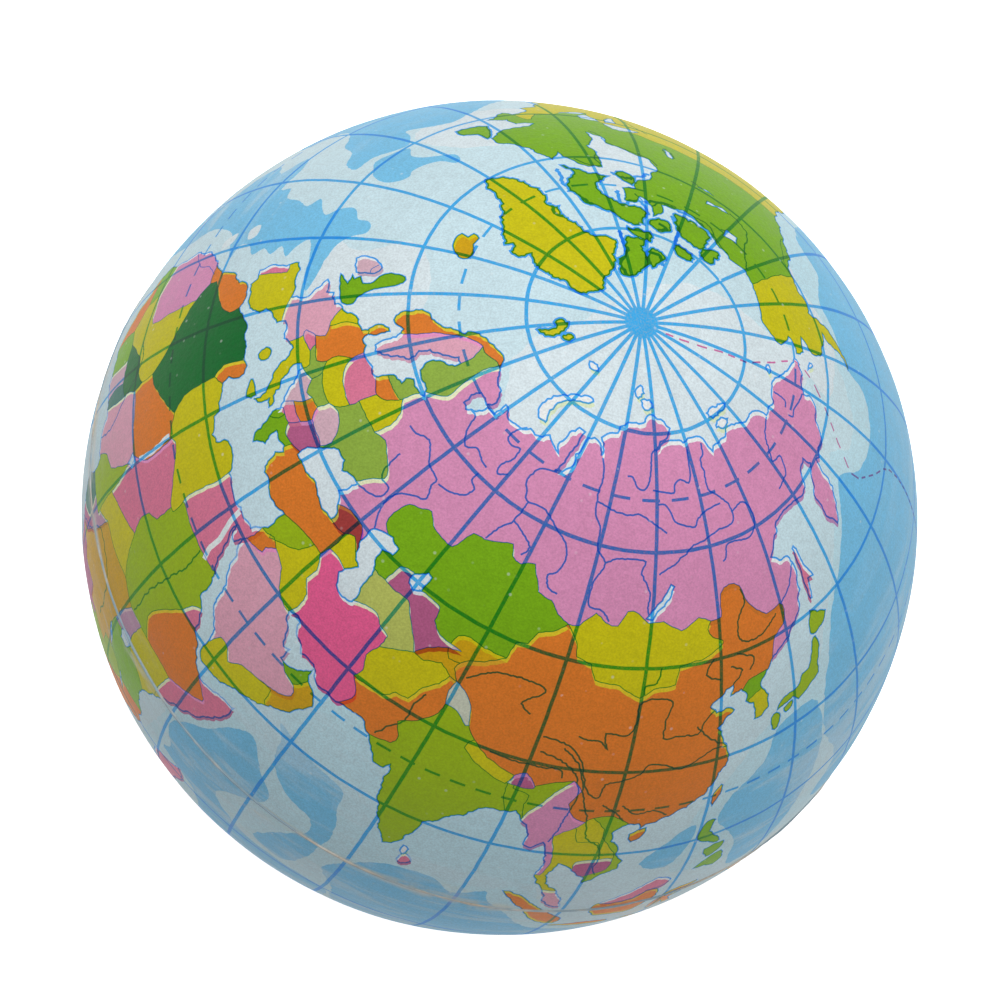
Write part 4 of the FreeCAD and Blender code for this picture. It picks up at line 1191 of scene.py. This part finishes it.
def foam_material():
    """Bare foam at the parting line: warm, slightly dirty, with cut cells whose hollows are darkened with
    painted shade.
    """
    s = Shader("bare_foam")
    where = s.node("ShaderNodeTexCoord").outputs["Object"]
    cells, _ = s.cells(where, 2600.0)
    stain = s.noise(where, 260, 3, 0.6)
    base = s.mix(s.step(stain, 0.35, 0.65), rgb(DIRTY_FOAM), rgb(CLEAN_FOAM))
    # painted shade: the middle of each cut cell, where the bump sinks it, is darkened towards this colour
    base = s.mix(s.step(cells, 0.1, 0.45, 0.3, 0.0), base, rgb(PAINTED_PORE_SHADE))
    base = s.mix(s.step(s.noise(where, 70, 4, 0.65), 0.46, 0.56, 0.0, 0.8), base, rgb(INKED_FOAM))
    s.put(s.surface.inputs["Base Color"], base)
    s.put(s.surface.inputs["Roughness"], s.step(stain, 0.2, 0.8, 0.75, 0.95, "LINEAR"))
    s.surface.inputs["Specular IOR Level"].default_value = 0.2
    s.bump(cells, 0.5, 0.0001)
    return s.material


def floor_material():
    s = Shader("pale_floor")
    where = s.node("ShaderNodeTexCoord").outputs["Object"]
    patches = s.step(s.noise(where, 30, 3), 0.3, 0.7)
    s.put(s.surface.inputs["Base Color"], s.mix(patches, *map(rgb, FLOOR)))
    for socket, value in (("Roughness", 0.9), ("Specular IOR Level", 0.1), ("Emission Color", (1, 1, 1, 1)),
                          ("Emission Strength", FLOOR_GLOW)):
        s.surface.inputs[socket].default_value = value
    return s.material


printed_film = film_material()
bare_foam = foam_material()

# ---------------------------------------------------------------------------------------------
# Pieces
# ---------------------------------------------------------------------------------------------


def uneven(x, y, size, level):
    return noise.noise(Vector((x * size, y * size, level)))


def foam_ball():
    """The foam under the covers, with the thin uneven rib of flash that stands at the parting line."""
    low_core, high_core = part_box("foam_core")
    rib = (high_core.x - low_core.x) / 2
    half = HALF_GAP * 0.92
    # radius, height, and whether the point is on the bare rib: the upper half, then its mirror image
    profile = []
    for angle in map(math.radians, [*range(0, 88, 3), 88.6, 89.4]):
        p = shell(np.array([math.sin(angle), 0, math.cos(angle)]), COVER + UNDER_COVER)
        profile.append((p[0], p[2], False))
    profile += [(SEAM_RADIUS - COVER - UNDER_COVER, half, False), (SEAM_RADIUS - 0.00006, half, True),
                (rib - 0.00003, half * 0.8, True), (rib, half * 0.3, True)]
    profile += [(r, -z, bare) for r, z, bare in profile[::-1]]
    points = []
    for r, z, bare in profile:
        if r < 1e-9:
            points.append((0, 0, z))
            continue
        for i in range(RIB_STEPS):
            a = 2 * math.pi * i / RIB_STEPS
            x, y = math.cos(a), math.sin(a)
            if bare:
                in_or_out = 0.00005 * uneven(x, y, 9, 2.0) + 0.00004 * uneven(x, y, 55, z * 4000) - 0.00003
                points.append(((r + in_or_out) * x, (r + in_or_out) * y, z + 0.00002 * uneven(x, y, 30, 7.0)))
            else:
                points.append((r * x, r * y, z))
    rows = len(profile)

    def at(j, i):
        if j == rows - 1:
            return len(points) - 1
        return 1 + (j - 1) * RIB_STEPS + i % RIB_STEPS if j else 0

    faces = []
    for j in range(rows - 1):
        for i in range(RIB_STEPS):
            corners = (at(j, i), at(j + 1, i), at(j + 1, i + 1), at(j, i + 1))
            faces.append(tuple(dict.fromkeys(corners)))
    mesh = bpy.data.meshes.new("foam_ball")
    mesh.from_pydata(points, [], faces)
    mesh.polygons.foreach_set("use_smooth", [True] * len(mesh.polygons))
    mesh.materials.append(bare_foam)
    obj = in_scene("foam_ball", mesh)
    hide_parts("foam_core")
    return obj


pieces = [cover("north_print", 1, "north_cover"), cover("south_print", -1, "south_cover"), foam_ball()]
for piece in pieces:
    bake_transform(piece)

# ---------------------------------------------------------------------------------------------
# Camera, light and floor
# ---------------------------------------------------------------------------------------------

cos, sin, rad = math.cos, math.sin, math.radians
east = Vector((cos(rad(LONGITUDE)), sin(rad(LONGITUDE)), 0))  # level direction towards the camera
north = Vector((-sin(rad(LONGITUDE)), cos(rad(LONGITUDE)), 0))
up = Vector((0, 0, 1))
tilt = rad(90 - LATITUDE)
x_axis = sin(tilt) * cos(rad(ROLL)) * up - cos(tilt) * cos(rad(ROLL)) * east + sin(rad(ROLL)) * north
y_axis = sin(tilt) * sin(rad(ROLL)) * up - cos(tilt) * sin(rad(ROLL)) * east - cos(rad(ROLL)) * north
z_axis = cos(tilt) * up + sin(tilt) * east


def placed(name, data, position, x, y, z):
    obj = in_scene(name, data)
    obj.matrix_world = Matrix([[x[i], y[i], z[i], position[i]] for i in range(3)] + [[0, 0, 0, 1]])
    return obj


lens = bpy.data.cameras.new("camera")
lens.lens, lens.sensor_width = FOCAL_LENGTH, SENSOR
lens.shift_x, lens.shift_y = SHIFT_X, SHIFT_Y
lens.clip_start, lens.clip_end = 0.01, 50
camera = placed("camera", lens, z_axis * DISTANCE, x_axis, y_axis, z_axis)
bpy.context.scene.camera = camera


def softbox(name, towards, size, power, distance):
    towards = towards.normalized()
    data = bpy.data.lights.new(name, "AREA")
    data.shape, data.size, data.energy = "DISK", size, power
    side = towards.orthogonal().normalized()
    return placed(name, data, towards * distance, side, towards.cross(side), towards)


softbox("key", y_axis * 0.64 + z_axis * 0.77 + x_axis * 0.04, 0.9, KEY_POWER, 1.0)
softbox("fill", x_axis * 0.9 - y_axis * 0.1 + z_axis * 0.35, 1.2, FILL_POWER, 1.4)

floor_mesh = bpy.data.meshes.new("floor")
floor_mesh.from_pydata([(-4, -4, 0), (4, -4, 0), (4, 4, 0), (-4, 4, 0)], [], [(0, 1, 2, 3)])
floor_mesh.materials.append(floor_material())
floor = in_scene("floor", floor_mesh)
floor.location = (0, 0, -POLE)
floor.visible_diffuse = False

world = bpy.data.worlds.new("studio")
world.use_nodes = True
tree = world.node_tree
back = tree.nodes["Background"]
where = tree.nodes.new("ShaderNodeTexCoord")
split = tree.nodes.new("ShaderNodeSeparateXYZ")
tree.links.new(where.outputs["Generated"], split.inputs[0])
level = tree.nodes.new("ShaderNodeMapRange")
level.interpolation_type = "SMOOTHSTEP"
for i, value in enumerate((-0.9, 0.5, SKY_LOW, SKY_HIGH), 1):
    level.inputs[i].default_value = value
tree.links.new(split.outputs["Z"], level.inputs[0])
tree.links.new(level.outputs[0], back.inputs["Strength"])
back.inputs["Color"].default_value = (1, 1, 1, 1)
bpy.context.scene.world = world
bpy.context.scene.view_settings.view_transform = "Standard"
